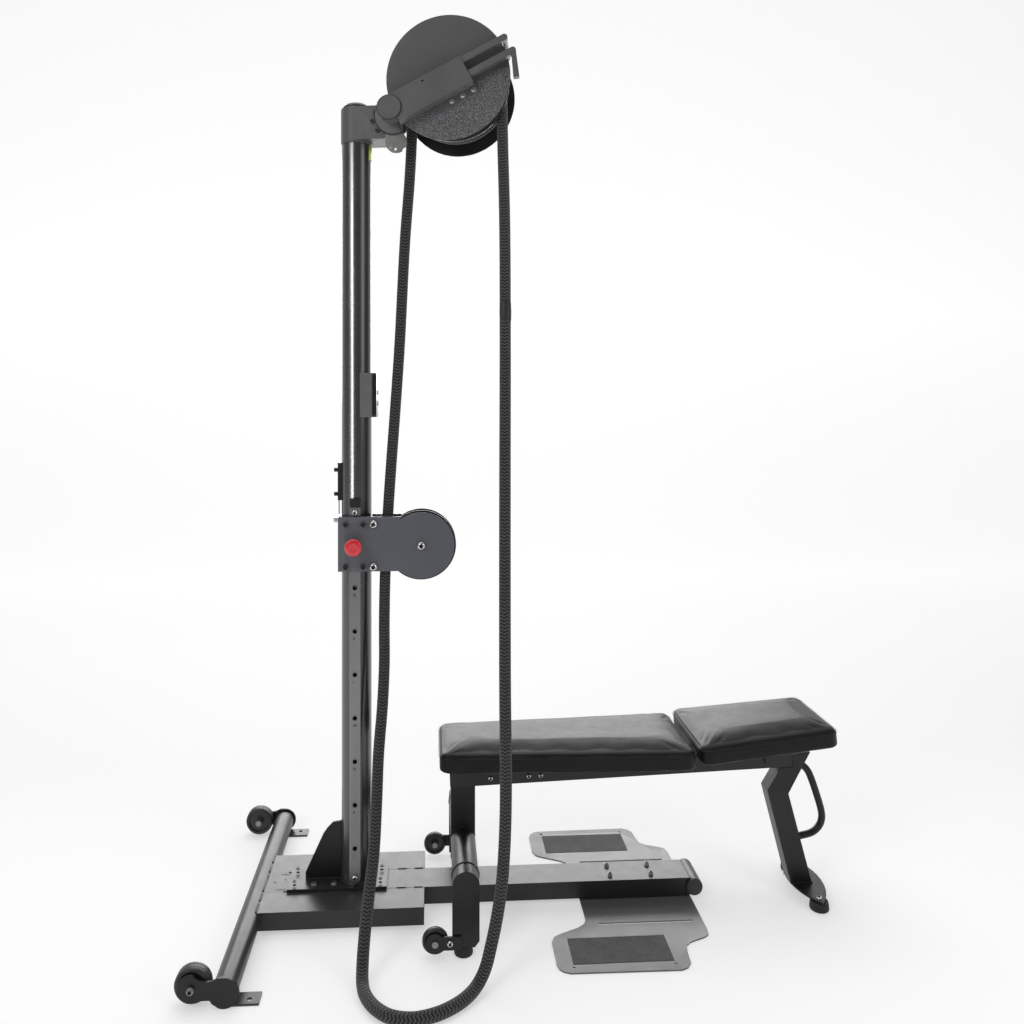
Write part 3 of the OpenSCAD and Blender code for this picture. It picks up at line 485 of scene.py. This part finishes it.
# ---- CAD nodes that keep their shape ----
LOOK = {
    "cross_tube": ("charcoal", 0.0010), "end_plates": ("black", 0.0014), "anchor_tabs": ("charcoal", 0.0012),
    "deck_tubes": ("charcoal", 0.0034), "main_beam": ("charcoal", 0.0034), "end_tube": ("charcoal", 0.0008),
    "tube_caps": ("nylon", 0.0012), "base_plate": ("charcoal", 0.0012), "frame_bolts": ("bolt_steel", 0.0006),
    "gusset": ("black", 0.0014), "column": ("column", 0.0), "spindle": ("shaft", 0.0006),
    "spindle_cap": ("nylon", 0.0015), "guide_rail": ("rail", 0.0012), "rail_fixings": ("zinc", 0.0005),
    "foot_plate": ("deck", 0.0008), "grip_pads": ("grip", 0.0003), "console_housing": ("console", 0.004),
    "console_bezel": ("bezel", 0.003), "band_anchor": ("black", 0.001),
    "wheel_axles": ("bolt_steel", 0.0008), "collar": ("head", 0.003), "collar_bushes": ("bronze", 0.0004),
    "clevis": ("head", 0.002), "index_plate": ("index", 0.0008), "pivot_pin": ("shaft", 0.001),
    "arm_box": ("head", 0.0026), "arm_plate": ("head", 0.001), "guard_bars": ("head", 0.0018),
    "cover_upper": ("cover", 0.0008), "cover_lower": ("speckle", 0.0008), "drum_axle": ("shaft", 0.001),
    "drum": ("drum", 0.0016), "drum_bearings": ("shaft", 0.0005), "carriage_near_plate": ("carriage", 0.0009),
    "carriage_far_plate": ("carriage", 0.0009), "carriage_spacers": ("zinc", 0.0008),
    "guide_shoes": ("nylon", 0.0008), "pulley_axle": ("zinc", 0.001), "pulley": ("drum", 0.0008),
    "bench_spine": ("black", 0.003), "bench_front_frame": ("black", 0.003),
    "bench_rear_leg": ("black", 0.004), "bench_wheel_axles": ("bolt_steel", 0.0008),
}
for cad_name, (look, width) in LOOK.items():
    shown = dressed(cad_name, M[look], width)
    if cad_name == "rail_fixings":
        shown.data.materials.append(M["black"])
        for f in shown.data.polygons:
            if f.center.z > 1.1865:
                f.material_index = 1

bm = bmesh.new()
for i in range(9):
    z = 1.158 + 0.044 * i / 8
    row = [bm.verts.new(p) for p in ((0.176, -0.009, z), (0.176, 0.009, z), (0.178, 0.009, z), (0.178, -0.009, z))]
    if i:
        for k in range(4):
            bm.faces.new([last[k], last[(k + 1) % 4], row[(k + 1) % 4], row[k]])
    else:
        bm.faces.new(row[::-1])
    last = row
bm.faces.new(last)
band = finish_mesh("counter_strip", bm, M["rail"], weighted=False)
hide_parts("counter_band")
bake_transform(band)


# ---- fasteners ----
def head_profile(kind, r):
    if kind == "button":
        h = 0.62 * r
        pts = [(0.0, 0.0), (r, 0.0), (r, 0.12 * r), (0.94 * r, 0.32 * r), (0.78 * r, 0.5 * r), (0.55 * r, h)]
    else:
        h = 1.05 * r
        pts = [(0.0, 0.0), (r, 0.0), (r, h - 0.12 * r), (0.9 * r, h), (0.55 * r, h)]
    return pts + [(0.5 * r, h - 0.02 * r), (0.48 * r, h - 0.4 * r), (0.0, h - 0.45 * r)]


def bolts(name, body, mats, items, replaces=()):
    """items: (place, direction, radius, kind, matrix). Socket recesses take the second material, black in most calls,
    as painted shade in the recess; hex heads sit on washers.
    """
    bm = bmesh.new()
    for centre, axis, r, kind, matrix in items:
        before = set(bm.faces)
        axis = Vector(axis).normalized()
        if kind == "hex":
            lathe(bm, [(0.0, 0.0), (1.25 * r, 0.0), (1.25 * r, 0.15 * r), (1.15 * r, 0.2 * r), (0.0, 0.2 * r)],
                  centre, axis, 24, matrix)
            base = Vector(centre) + axis * (0.2 * r)
            lathe(bm, [(0.0, 0.0), (r, 0.0), (r, 0.55 * r), (0.88 * r, 0.68 * r), (0.0, 0.70 * r)],
                  base, axis, 6, matrix)
        else:
            lathe(bm, head_profile(kind, r), centre, axis, 24, matrix)
            world = matrix @ Vector(centre)
            line = (matrix.to_3x3() @ axis).normalized()
            # faces inside the recess take the second material: painted shade of the socket
            for f in set(bm.faces) - before:
                offset = f.calc_center_median() - world
                if (offset - line * offset.dot(line)).length < 0.49 * r and offset.dot(line) > 0.05 * r:
                    f.material_index = 1
    obj = finish_mesh(name, bm, M[mats[0]])
    obj.data.materials.append(M[mats[1]])
    return place(obj, body, replaces)


NEAR_Y = -0.07345
bolts("carriage_fasteners", "carriage", ("zinc", "mark"),
      [((0.284, NEAR_Y - 0.004, z), (0, -1, 0), 0.0120, "button", I4) for z in (1.015, 1.139)]
      + [((0.423, NEAR_Y - 0.004, 1.075), (0, -1, 0), 0.0125, "button", I4)])
bolts("shoe_fasteners", "carriage", ("dark_bolt", "mark"),
      [((COLUMN_X + s * 0.0253, NEAR_Y - 0.005, z), (0, -1, 0), 0.0072, "socket", I4)
       for s in (-1, 1) for z in (1.015, 1.139)])
bolts("head_fasteners", "head", ("dark_bolt", "mark"),
      [((x, -0.0465, z), (0, -1, 0), 0.0055, "socket", HEAD)
       for x, z in ((0.067, 2.344), (0.058, 2.319), (0.074, 2.291))], ["head_screws"])
bolts("arm_fasteners", "arm", ("zinc", "mark"),
      [((a, -0.086, -0.057), (0, -1, 0), 0.0066, "hex", ARM) for a in (0.168, 0.203, 0.238)], ["arm_bolts"])
bolts("cover_fasteners", "arm", ("speckle", "speckle"),
      [((0.188 + 0.148 * cos(radians(t)), -0.081, 0.012 + 0.148 * sin(radians(t))), (0, -1, 0), 0.0042,
        "button", ARM) for t in (-118, -85, -52, -20)])

# the sector behind the pivot with its rim, and the dark ring round the pivot's cap, which is painted shade of the gap
# there
bm = bmesh.new()
sector = [(0.124 + 0.057 * cos(t), -0.0537, 2.333 + 0.057 * sin(t))
          for t in (radians(165 + 130 * k / 26) for k in range(27))]
prism(bm, [(0.124, -0.0537, 2.333)] + sector, (0, -0.006, 0), HEAD)
round_edges(bm, 0.0015, 2)
place(finish_mesh("pivot_sector", bm, M["head"]), "head")
bm = bmesh.new()
tube(bm, [HEAD @ Vector((x, y - 0.0045, z)) for x, y, z in sector], 0.0021, sides=12)
place(finish_mesh("pivot_sector_rim", bm, M["nylon"], weighted=False), "head")
# a dark ring round the pivot's cap: painted shade of the gap between the cap and the arm
bm = bmesh.new()
lathe(bm, [(0.0338, 0.0), (0.0352, 0.0), (0.0362, 0.0012), (0.0362, 0.0034), (0.0350, 0.0046), (0.0338, 0.0034),
           (0.0338, 0.0)], (0, -0.1262, 0), (0, 1, 0), 72, ARM)
place(finish_mesh("pivot_cap_shade_ring", bm, M["nylon"], 60), "arm")
bolts("rail_fasteners", "frame", ("zinc", "mark"),
      [((COLUMN_X, -0.0664, z), (0, -1, 0), 0.0088, "button", I4) for z in (0.104, 1.171)])
bolts("plate_fasteners", "frame", ("bolt_steel", "mark"),
      [((x, y, 0.0824), (0, 0, 1), 0.0058, "button", I4) for x in (0.050, 0.302) for y in (-0.034, 0.034)]
      + [((x, y, 0.0684), (0, 0, 1), 0.0066, "button", I4) for x in (0.991, 1.116) for y in (-0.026, 0.026)])
bolts("bench_fasteners", "bench", ("zinc", "mark"),
      [((x, -0.0254, 0.352 + 0.020 + (x - 0.508) * 0.0332), (0, -1, 0), 0.0075, "button", BENCH)
       for x in (0.628, 0.668, 0.742, 0.778)]
      + [((x, 0.0254, 0.352 + 0.020 + (x - 0.508) * 0.0332), (0, 1, 0), 0.0075, "button", BENCH)
         for x in (0.628, 0.668, 0.742, 0.778)]
      + [((1.594, s * 0.105, 0.032), (0, 0, 1), 0.0085, "button", BENCH) for s in (-1, 1)]
      + [((0.503, s * 0.271, 0.045), (0, s, 0), 0.0085, "button", BENCH) for s in (-1, 1)])
bolts("wheel_fasteners", "frame", ("bolt_steel", "mark"),
      [((-0.138, s * 0.445, 0.051), (0, s, 0), 0.0095, "button", I4) for s in (-1, 1)])


# ---- welds ----
def weld(name, body, paths, r=0.0032, mat="charcoal"):
    bm = bmesh.new()
    for path in paths:
        points = [Vector(p) for p in path]
        fine = []
        for a, b in zip(points, points[1:]):
            steps = max(2, int((b - a).length / 0.0016))
            fine += [a.lerp(b, k / steps) for k in range(steps)]
        fine.append(points[-1])
        tube(bm, fine, lambda f, s: r * (0.78 + 0.22 * abs(sin(s * 620.0))) * (1 if 0.01 < f < 0.99 else 0.4),
             sides=8)
    return place(finish_mesh(name, bm, M[mat], weighted=False), body)


def circle_path(centre, radius, normal, start=0.0, end=2 * pi, n=72, matrix=I4):
    axis = Vector(normal).normalized()
    side = axis.orthogonal().normalized()
    up = axis.cross(side)
    return [matrix @ (Vector(centre) + (side * cos(t) + up * sin(t)) * radius)
            for t in (start + (end - start) * k / n for k in range(n + 1))]


weld("column_weld", "frame", [circle_path((COLUMN_X, 0, 0.0728), 0.0448, (0, 0, 1))], 0.0035)
weld("gusset_weld", "frame",
     [[(0.080, y, 0.0732), (0.184, y, 0.0732)] for y in (-0.0045, 0.0045)]
     + [[(0.1850, y, 0.076), (0.1850, y, 0.246)] for y in (-0.0045, 0.0045)], 0.0026, "black")
weld("cross_weld", "frame",
     [[(-0.0387, y0, 0.0640), (-0.0387, y1, 0.0640)]
      for y0, y1 in ((-0.150, -0.108), (-0.094, -0.056), (-0.045, 0.045), (0.056, 0.094), (0.108, 0.150))]
     + [[(-0.033, s * 0.1524, 0.0150), (-0.028, s * 0.1529, 0.030), (-0.028, s * 0.1529, 0.048),
         (-0.037, s * 0.1524, 0.0625)] for s in (-1, 1)])
weld("beam_weld", "frame", [[(1.2290, -0.048, 0.0628), (1.2290, 0.048, 0.0628)]], 0.0024)
weld("seam_weld", "frame",
     [[(x, s * 0.0508, 0.0636), (x + 0.028, s * 0.0508, 0.0636)] for x in (0.02, 0.35, 0.40) for s in (-1, 1)],
     0.0022)
weld("bench_weld", "bench",
     [circle_path((0.546, s * 0.2178 - 0.020, 0.197), 0.0366, (0, 1, 0)) for s in (-1, 1)]
     + [[(1.541, -0.047, 0.033), (1.609, -0.047, 0.033)], [(1.609, -0.047, 0.033), (1.609, 0.007, 0.033)],
        [(1.541, 0.007, 0.033), (1.609, 0.007, 0.033)]], 0.0026, "black")
post = []
for k in range(41):
    t = pi * (k / 40) - pi / 2
    post.append((0.546 + 0.0355 * sin(t), 0, 0.0))
post_paths = []
for side in (-0.0252, 0.0252):
    path = []
    for k in range(33):
        x = -0.0355 + 0.071 * k / 32
        path.append((0.546 + x, -0.020 + side, 0.197 + sqrt(max(0.0, 0.0365 ** 2 - x * x)) + 0.001))
    post_paths.append(path)
weld("post_weld", "bench", post_paths, 0.0028, "black")

# ---- knob and pin ----
bm = bmesh.new()
ky = NEAR_Y - 0.030
lathe(bm, [(0.0, -0.0), (0.006, -0.0), (0.006, 0.0415)], (COLUMN_X, ky, 1.0775), (0, 1, 0), 32)
pin = finish_mesh("pin_stem", bm, M["shaft"], weighted=False)
place(pin, "pull_pin")
bm = bmesh.new()
lathe(bm, [(0.0, 0.0), (0.006, 0.0), (0.0118, 0.0), (0.0118, -0.018), (0.010, -0.0195), (0.010, -0.0200)],
      (COLUMN_X, ky + 0.0002, 1.0775), (0, -1, 0), 40)
place(finish_mesh("pin_collar", bm, M["dark_bolt"]), "pull_pin")
bm = bmesh.new()
profile = [(0.0, 0.0), (0.012, 0.0), (0.0205, 0.0006), (0.0240, 0.0030), (0.0250, 0.0065), (0.0250, 0.0105),
           (0.0244, 0.0140), (0.0225, 0.0165), (0.0200, 0.0178), (0.0120, 0.0176), (0.0, 0.0170)]
lathe(bm, profile, (COLUMN_X, ky, 1.0775), (0, -1, 0), 64)
place(finish_mesh("pull_knob", bm, M["knob"], 60, False), "pull_pin", ["pull_pin"])

# ---- wheels ----
def wheel(name, body, centre, r, half, hub, mat, nodes):
    """A moulded wheel: crowned tread with two grooves, recessed web and a raised hub."""
    bm = bmesh.new()
    c = Vector(centre)
    rim = 0.76 * r
    face = [(0.0062, half - 0.001), (hub * 0.7, half - 0.001), (hub, half - 0.003), (hub, half - 0.0065),
            (rim - 0.002, half - 0.0065), (rim, half - 0.002), (rim + 0.002, half - 0.0006),
            (r - 0.005, half - 0.0006), (r - 0.0015, half - 0.003), (r - 0.0002, half - 0.006)]
    tread = [(r, 0.35 * half), (r - 0.0012, 0.32 * half), (r - 0.0012, 0.26 * half), (r, 0.23 * half)]
    right = face + tread
    outline = right + [(a, -h) for a, h in right[::-1]] + [(0.0062, half - 0.001)]
    lathe(bm, outline, c, (0, 1, 0), 64)
    obj = finish_mesh(name, bm, M[mat], 30, True)
    return place(obj, body, nodes)


wheel("transport_wheel_near", "base_wheel_near", (-0.138, -0.413, 0.051), 0.045, 0.017, 0.014, "wheel", ["wheel_near"])
wheel("transport_wheel_far", "base_wheel_far", (-0.138, 0.413, 0.051), 0.045, 0.017, 0.014, "wheel", ["wheel_far"])
wheel("bench_roller_near", "bench_wheel_near", (0.463, -0.273, 0.045), 0.035, 0.011, 0.012, "wheel", ["bench_wheel_near"])
wheel("bench_roller_far", "bench_wheel_far", (0.463, 0.233, 0.045), 0.035, 0.011, 0.012, "wheel", ["bench_wheel_far"])

# ---- rubber feet, handle and buttons ----
bm = bmesh.new()
for s in (-1, 1):
    lathe(bm, [(0.0, 0.0), (0.0225, 0.0), (0.0250, 0.0020), (0.0260, 0.0050), (0.0252, 0.0075), (0.0258, 0.0100),
               (0.0250, 0.0125), (0.0254, 0.0150), (0.0240, 0.0270), (0.0225, 0.0300), (0.0, 0.0300)],
          (0.540, s * 0.242, 0.0), (0, 0, 1), 48, BENCH)
    lathe(bm, [(0.0, 0.0), (0.0245, 0.0), (0.0270, 0.0020), (0.0280, 0.0050), (0.0272, 0.0080), (0.0278, 0.0105),
               (0.0266, 0.0200), (0.0250, 0.0258), (0.0, 0.0258)], (1.594, s * 0.105, 0.0), (0, 0, 1), 48, BENCH)
place(finish_mesh("rubber_feet", bm, M["rubber"], 50), "bench", ["bench_feet"])

handle_points = [Vector((x, -0.020, z)) for x, z in
                 ((1.545, 0.395), (1.580, 0.385), (1.603, 0.366), (1.617, 0.338), (1.632, 0.295),
                  (1.647, 0.245), (1.650, 0.215), (1.640, 0.190), (1.615, 0.171), (1.566, 0.161))]
bm = bmesh.new()
tube(bm, catmull(handle_points, 8), 0.0105, sides=28)
place(finish_mesh("handle_tube", bm, M["black"], weighted=False), "bench", ["bench_handle"])
for body, z, cad in (("lower_button", 1.491, "button_lower"), ("upper_button", 1.524, "button_upper")):
    bm = bmesh.new()
    lathe(bm, [(0.0, 0.0), (0.0078, 0.0), (0.0078, 0.0062), (0.0071, 0.0075), (0.0045, 0.0080), (0.0, 0.0078)],
          (0.286, 0, z), (1, 0, 0), 40)
    place(finish_mesh("push_" + body, bm, M["button"], 50), body, [cad])


# ---- small marks: hole rims, painted shade for slots, labels ----
def patches(name, body, mat, items):
    """Thin bevelled plates: (centre, half-size x, y, z, matrix)."""
    bm = bmesh.new()
    for c, h, matrix in items:
        corners = [(c[0] + sx * h[0], c[1] + sy * h[1], c[2] - h[2]) for sx, sy in ((-1, -1), (1, -1), (1, 1), (-1, 1))]
        prism(bm, corners, (0, 0, 2 * h[2]), matrix)
    round_edges(bm, 0.0004, 1)
    return place(finish_mesh(name, bm, M[mat]), body)


marks = []
for i in range(8):
    z = 0.1885 + 0.127 * i
    for k in range(1 + i % 4):
        marks.append(((COLUMN_X - 0.004 + 0.0028 * k, -0.0616, z - 0.021), (0.0007, 0.0004, 0.0035), I4))
patches("rail_marks", "frame", "mark", marks)
rims = bmesh.new()
for i in range(8):
    lathe(rims, [(0.0066, 0.0), (0.0100, 0.0), (0.0100, 0.0005), (0.0068, 0.0008), (0.0066, 0.0)],
          (COLUMN_X, -0.0614, 0.1885 + 0.127 * i), (0, -1, 0), 32)
place(finish_mesh("rail_hole_rims", rims, M["rail"]), "frame")
# black patches for the slots, holes and gaps in the deck tops: painted shade of the openings
patches("deck_opening_shade", "frame", "mark",
        [((0.012, 0.040, 0.0634), (0.014, 0.0022, 0.0003), I4), ((0.012, -0.040, 0.0634), (0.014, 0.0022, 0.0003), I4),
         ((-0.012, 0.0, 0.0634), (0.0035, 0.0035, 0.0003), I4), ((0.016, 0.014, 0.0634), (0.003, 0.003, 0.0003), I4),
         ((0.340, -0.0508, 0.0634), (0.050, 0.0012, 0.0003), I4), ((0.340, 0.0508, 0.0634), (0.050, 0.0012, 0.0003), I4)])
bm = bmesh.new()
rows = []
for j in range(2):
    z = 2.214 + 0.045 * j
    rows.append([(0.0448, t, z) for t in [radians(58 + 52 * k / 16) for k in range(17)]])
verts = [[bm.verts.new((COLUMN_X + r * sin(t), -r * cos(t), z)) for r, t, z in row] for row in rows]
for k in range(16):
    bm.faces.new([verts[0][k], verts[0][k + 1], verts[1][k + 1], verts[1][k]])
label = finish_mesh("column_label", bm, M["label"], weighted=False)
thick = label.modifiers.new("thick", "SOLIDIFY")
thick.thickness = 0.0004
thick.offset = 1
place(label, "frame")

# ---- pads ----
def pad_outline(length, w0, w1, d, r=0.034, arc=10):
    """Points round a tapered pad, drawn in by d."""
    pts = []
    radius = max(r - d, 0.006)
    for cx, w, a0, s in ((0, w0, 180, -1), (length, w1, 270, -1), (length, w1, 0, 1), (0, w0, 90, 1)):
        x = (d + radius) if cx == 0 else (length - d - radius)
        y = s * (w - d - radius)
        for k in range(arc + 1):
            t = radians(a0 + 90 * k / arc)
            pts.append((x + radius * cos(t), y + radius * sin(t)))
    return pts


def voxels(obj, size):
    mod = obj.modifiers.new("voxels", "REMESH")
    mod.mode = "VOXEL"
    mod.voxel_size = size
    graph = bpy.context.evaluated_depsgraph_get()
    mesh = bpy.data.meshes.new_from_object(obj.evaluated_get(graph))
    obj.modifiers.remove(mod)
    obj.data = mesh


def puff(obj, pinned_below, cap):
    """Blows the top of the cover up over its glued sides, so it crowns without drawing in."""
    start = [v.co.copy() for v in obj.data.vertices]
    board = obj.vertex_groups.new(name="board")
    board.add([i for i, c in enumerate(start) if c.z < pinned_below], 1.0, "REPLACE")
    mod = obj.modifiers.new("cloth", "CLOTH")
    cloth = mod.settings
    cloth.vertex_group_mass = "board"
    cloth.quality = 4
    cloth.mass = 0.3
    cloth.tension_stiffness = 12
    cloth.compression_stiffness = 12
    cloth.bending_stiffness = 0.6
    cloth.use_pressure = True
    cloth.uniform_pressure_force = 4.0
    cloth.effector_weights.gravity = 0
    mod.point_cache.frame_start = 1
    mod.point_cache.frame_end = 20
    for f in range(1, 21):
        scene.frame_set(f)
    graph = bpy.context.evaluated_depsgraph_get()
    blown = obj.evaluated_get(graph)
    ends = [v.co.copy() for v in blown.to_mesh().vertices]
    blown.to_mesh_clear()
    obj.modifiers.remove(mod)
    obj.vertex_groups.clear()
    for v, a, b in zip(obj.data.vertices, start, ends):
        step = b - a
        flat = Vector((step.x, step.y, 0))
        if flat.length > 0.0012:
            flat *= 0.0012 / flat.length
        v.co = a + flat + Vector((0, 0, min(cap, max(-0.0005, step.z))))
    scene.frame_set(1)


def pad(name, cad, matrix, length, w0, w1, t):
    bm = bmesh.new()
    rings = []
    shape = [(0.010, 0.0), (0.0035, 0.0018), (0.0022, 0.0070), (0.0022, t - 0.016), (0.0050, t - 0.010),
             (0.0120, t - 0.0055), (0.026, t - 0.0030), (0.050, t - 0.0010)]
    for d, z in shape:
        rings.append([bm.verts.new((x, y, z)) for x, y in pad_outline(length, w0, w1, d)])
    n = len(rings[0])
    for a, b in zip(rings, rings[1:]):
        for k in range(n):
            bm.faces.new([a[k], a[(k + 1) % n], b[(k + 1) % n], b[k]])
    bm.faces.new(rings[0][::-1])
    bm.faces.new(rings[-1])
    obj = finish_mesh(name, bm, M["vinyl"], weighted=False)
    voxels(obj, 0.0055)
    puff(obj, t - 0.0125, 0.009)
    mesh = obj.data
    if not mesh.materials:
        mesh.materials.append(M["vinyl"])
    seam = t - 0.0105
    bm = bmesh.new()
    bm.from_mesh(mesh)
    bmesh.ops.subdivide_edges(bm, edges=bm.edges, cuts=1, use_grid_fill=True, smooth=0.6)
    mid = Vector((length / 2, 0, 0))
    for v in bm.verts:
        along = min(1.0, max(0.0, v.co.x / length))
        half = w0 + (w1 - w0) * along
        edge = min(half - abs(v.co.y), v.co.x, length - v.co.x)
        dome = min(1.0, max(0.0, edge / 0.11))
        if v.co.z > t * 0.6:
            v.co.z += 0.006 * sin(dome * pi / 2)
        gap = abs(v.co.z - seam) / 0.0032
        if edge < 0.016 and gap < 1.0:
            pull = 0.0024 * (1 - gap) ** 2
            inward = Vector((mid.x - v.co.x, -v.co.y, 0))
            inward.x = 1.0 if v.co.x < 0.02 else (-1.0 if v.co.x > length - 0.02 else 0.0)
            inward.y = -1.0 if v.co.y > half - 0.02 else (1.0 if v.co.y < -half + 0.02 else 0.0)
            if inward.length > 0:
                v.co += inward.normalized() * pull
        wrinkle = noise.noise(Vector((v.co.x * 9, v.co.y * 14, v.co.z * 10 + length * 7)))
        if v.co.z > 0.01:
            v.co.z += 0.0009 * wrinkle * (1 if v.co.z > t * 0.5 else 0.2)
    bm.transform(matrix)
    bmesh.ops.recalc_face_normals(bm, faces=bm.faces)
    for f in bm.faces:
        f.smooth = True
    bm.to_mesh(mesh)
    bm.free()
    place(obj, "bench", [cad])
    thread = bmesh.new()
    outline = pad_outline(length, w0 + 0.0016, w1 + 0.0016, 0.0, 0.036)
    n = len(outline)
    for z in (seam - 0.0038,):
        line = [matrix @ Vector((x, y, z)) for x, y in outline + [outline[0]]]
        fine = []
        for a, b in zip(line, line[1:]):
            steps = max(1, int((b - a).length / 0.006))
            fine += [(a.lerp(b, k / steps), a.lerp(b, (k + 0.62) / steps)) for k in range(steps)]
        for a, b in fine:
            if (b - a).length > 1e-5:
                tube(thread, [a, a.lerp(b, 0.5), b], 0.0006, sides=5)
    place(finish_mesh(name + "_stitches", thread, M["nylon"], weighted=False), "bench")
    return obj


pad("pad_long", "pad_front", FRONT_PAD, 0.742, 0.132, 0.165, 0.058)
pad("pad_short", "pad_rear", REAR_PAD, 0.420, 0.165, 0.148, 0.058)

# ---- floor, backdrop and light ----
GLOW = [(0.0, grey(0.47)), (0.25, grey(0.56)), (1.0, grey(0.73))]
bm = bmesh.new()
sweep = [(-9.0, 0.0), (4.5, 0.0)]
for k in range(1, 13):
    t = pi / 2 * k / 12
    sweep.append((4.5 + 2.5 * sin(t), 2.5 - 2.5 * cos(t)))
sweep.append((7.0, 8.0))
left = [bm.verts.new((-9.0, y, z - 0.0005)) for y, z in sweep]
right = [bm.verts.new((10.0, y, z - 0.0005)) for y, z in sweep]
for k in range(len(sweep) - 1):
    bm.faces.new([left[k], right[k], right[k + 1], left[k + 1]])
floor = finish_mesh("studio_sweep", bm, stage_material("studio_white", 0.62, GLOW), 60, False)


def light(name, place_at, target, size, power, size_y=None):
    data = bpy.data.lights.new(name, "AREA")
    data.shape = "RECTANGLE"
    data.size = size
    data.size_y = size_y or size
    data.energy = power
    obj = bpy.data.objects.new(name, data)
    obj.location = place_at
    obj.rotation_euler = (Vector(target) - Vector(place_at)).to_track_quat("-Z", "Y").to_euler()
    scene.collection.objects.link(obj)
    obj.visible_camera = False
    return obj


light("key_left", (-2.2, -3.2, 3.4), (0.4, 0.0, 1.1), 1.6, 55, 2.6)
light("fill_right", (3.6, -2.6, 2.6), (0.6, 0.0, 1.0), 1.8, 28, 2.6)
light("top_soft", (0.5, 0.4, 4.6), (0.5, 0.0, 0.0), 3.2, 60)
back = light("back_soft", (0.5, 4.2, 2.4), (0.5, 0.0, 0.5), 5.0, 200, 2.0)
strip = light("side_strip", (-1.6, -3.0, 1.4), (0.23, 0.0, 1.3), 0.62, 165, 3.4)
spared = bpy.data.collections.new("floor_spared")
spared.objects.link(floor)
back.light_linking.receiver_collection = spared
spared.collection_objects[0].light_linking.link_state = "EXCLUDE"
streaked = bpy.data.collections.new("column_streaked")
streaked.objects.link(bpy.data.objects["v_column"])
strip.light_linking.receiver_collection = streaked

world = bpy.data.worlds.new("studio")
scene.world = world
world.use_nodes = True
tree = world.node_tree
sky = tree.nodes["Background"]
coords = tree.nodes.new("ShaderNodeTexCoord")
split = tree.nodes.new("ShaderNodeSeparateXYZ")
tree.links.new(coords.outputs["Generated"], split.inputs["Vector"])
fade = node(tree, "ShaderNodeMapRange")
fade.inputs["From Min"].default_value = -1.0
fade.inputs["From Max"].default_value = 0.6
tree.links.new(split.outputs["Y"], fade.inputs["Value"])
tone = ramp(tree, fade.outputs["Result"], [(0.0, grey(0.10)), (0.55, grey(0.26)), (1.0, grey(1.0))])
tree.links.new(tone, sky.inputs["Color"])
sky.inputs["Strength"].default_value = 0.85
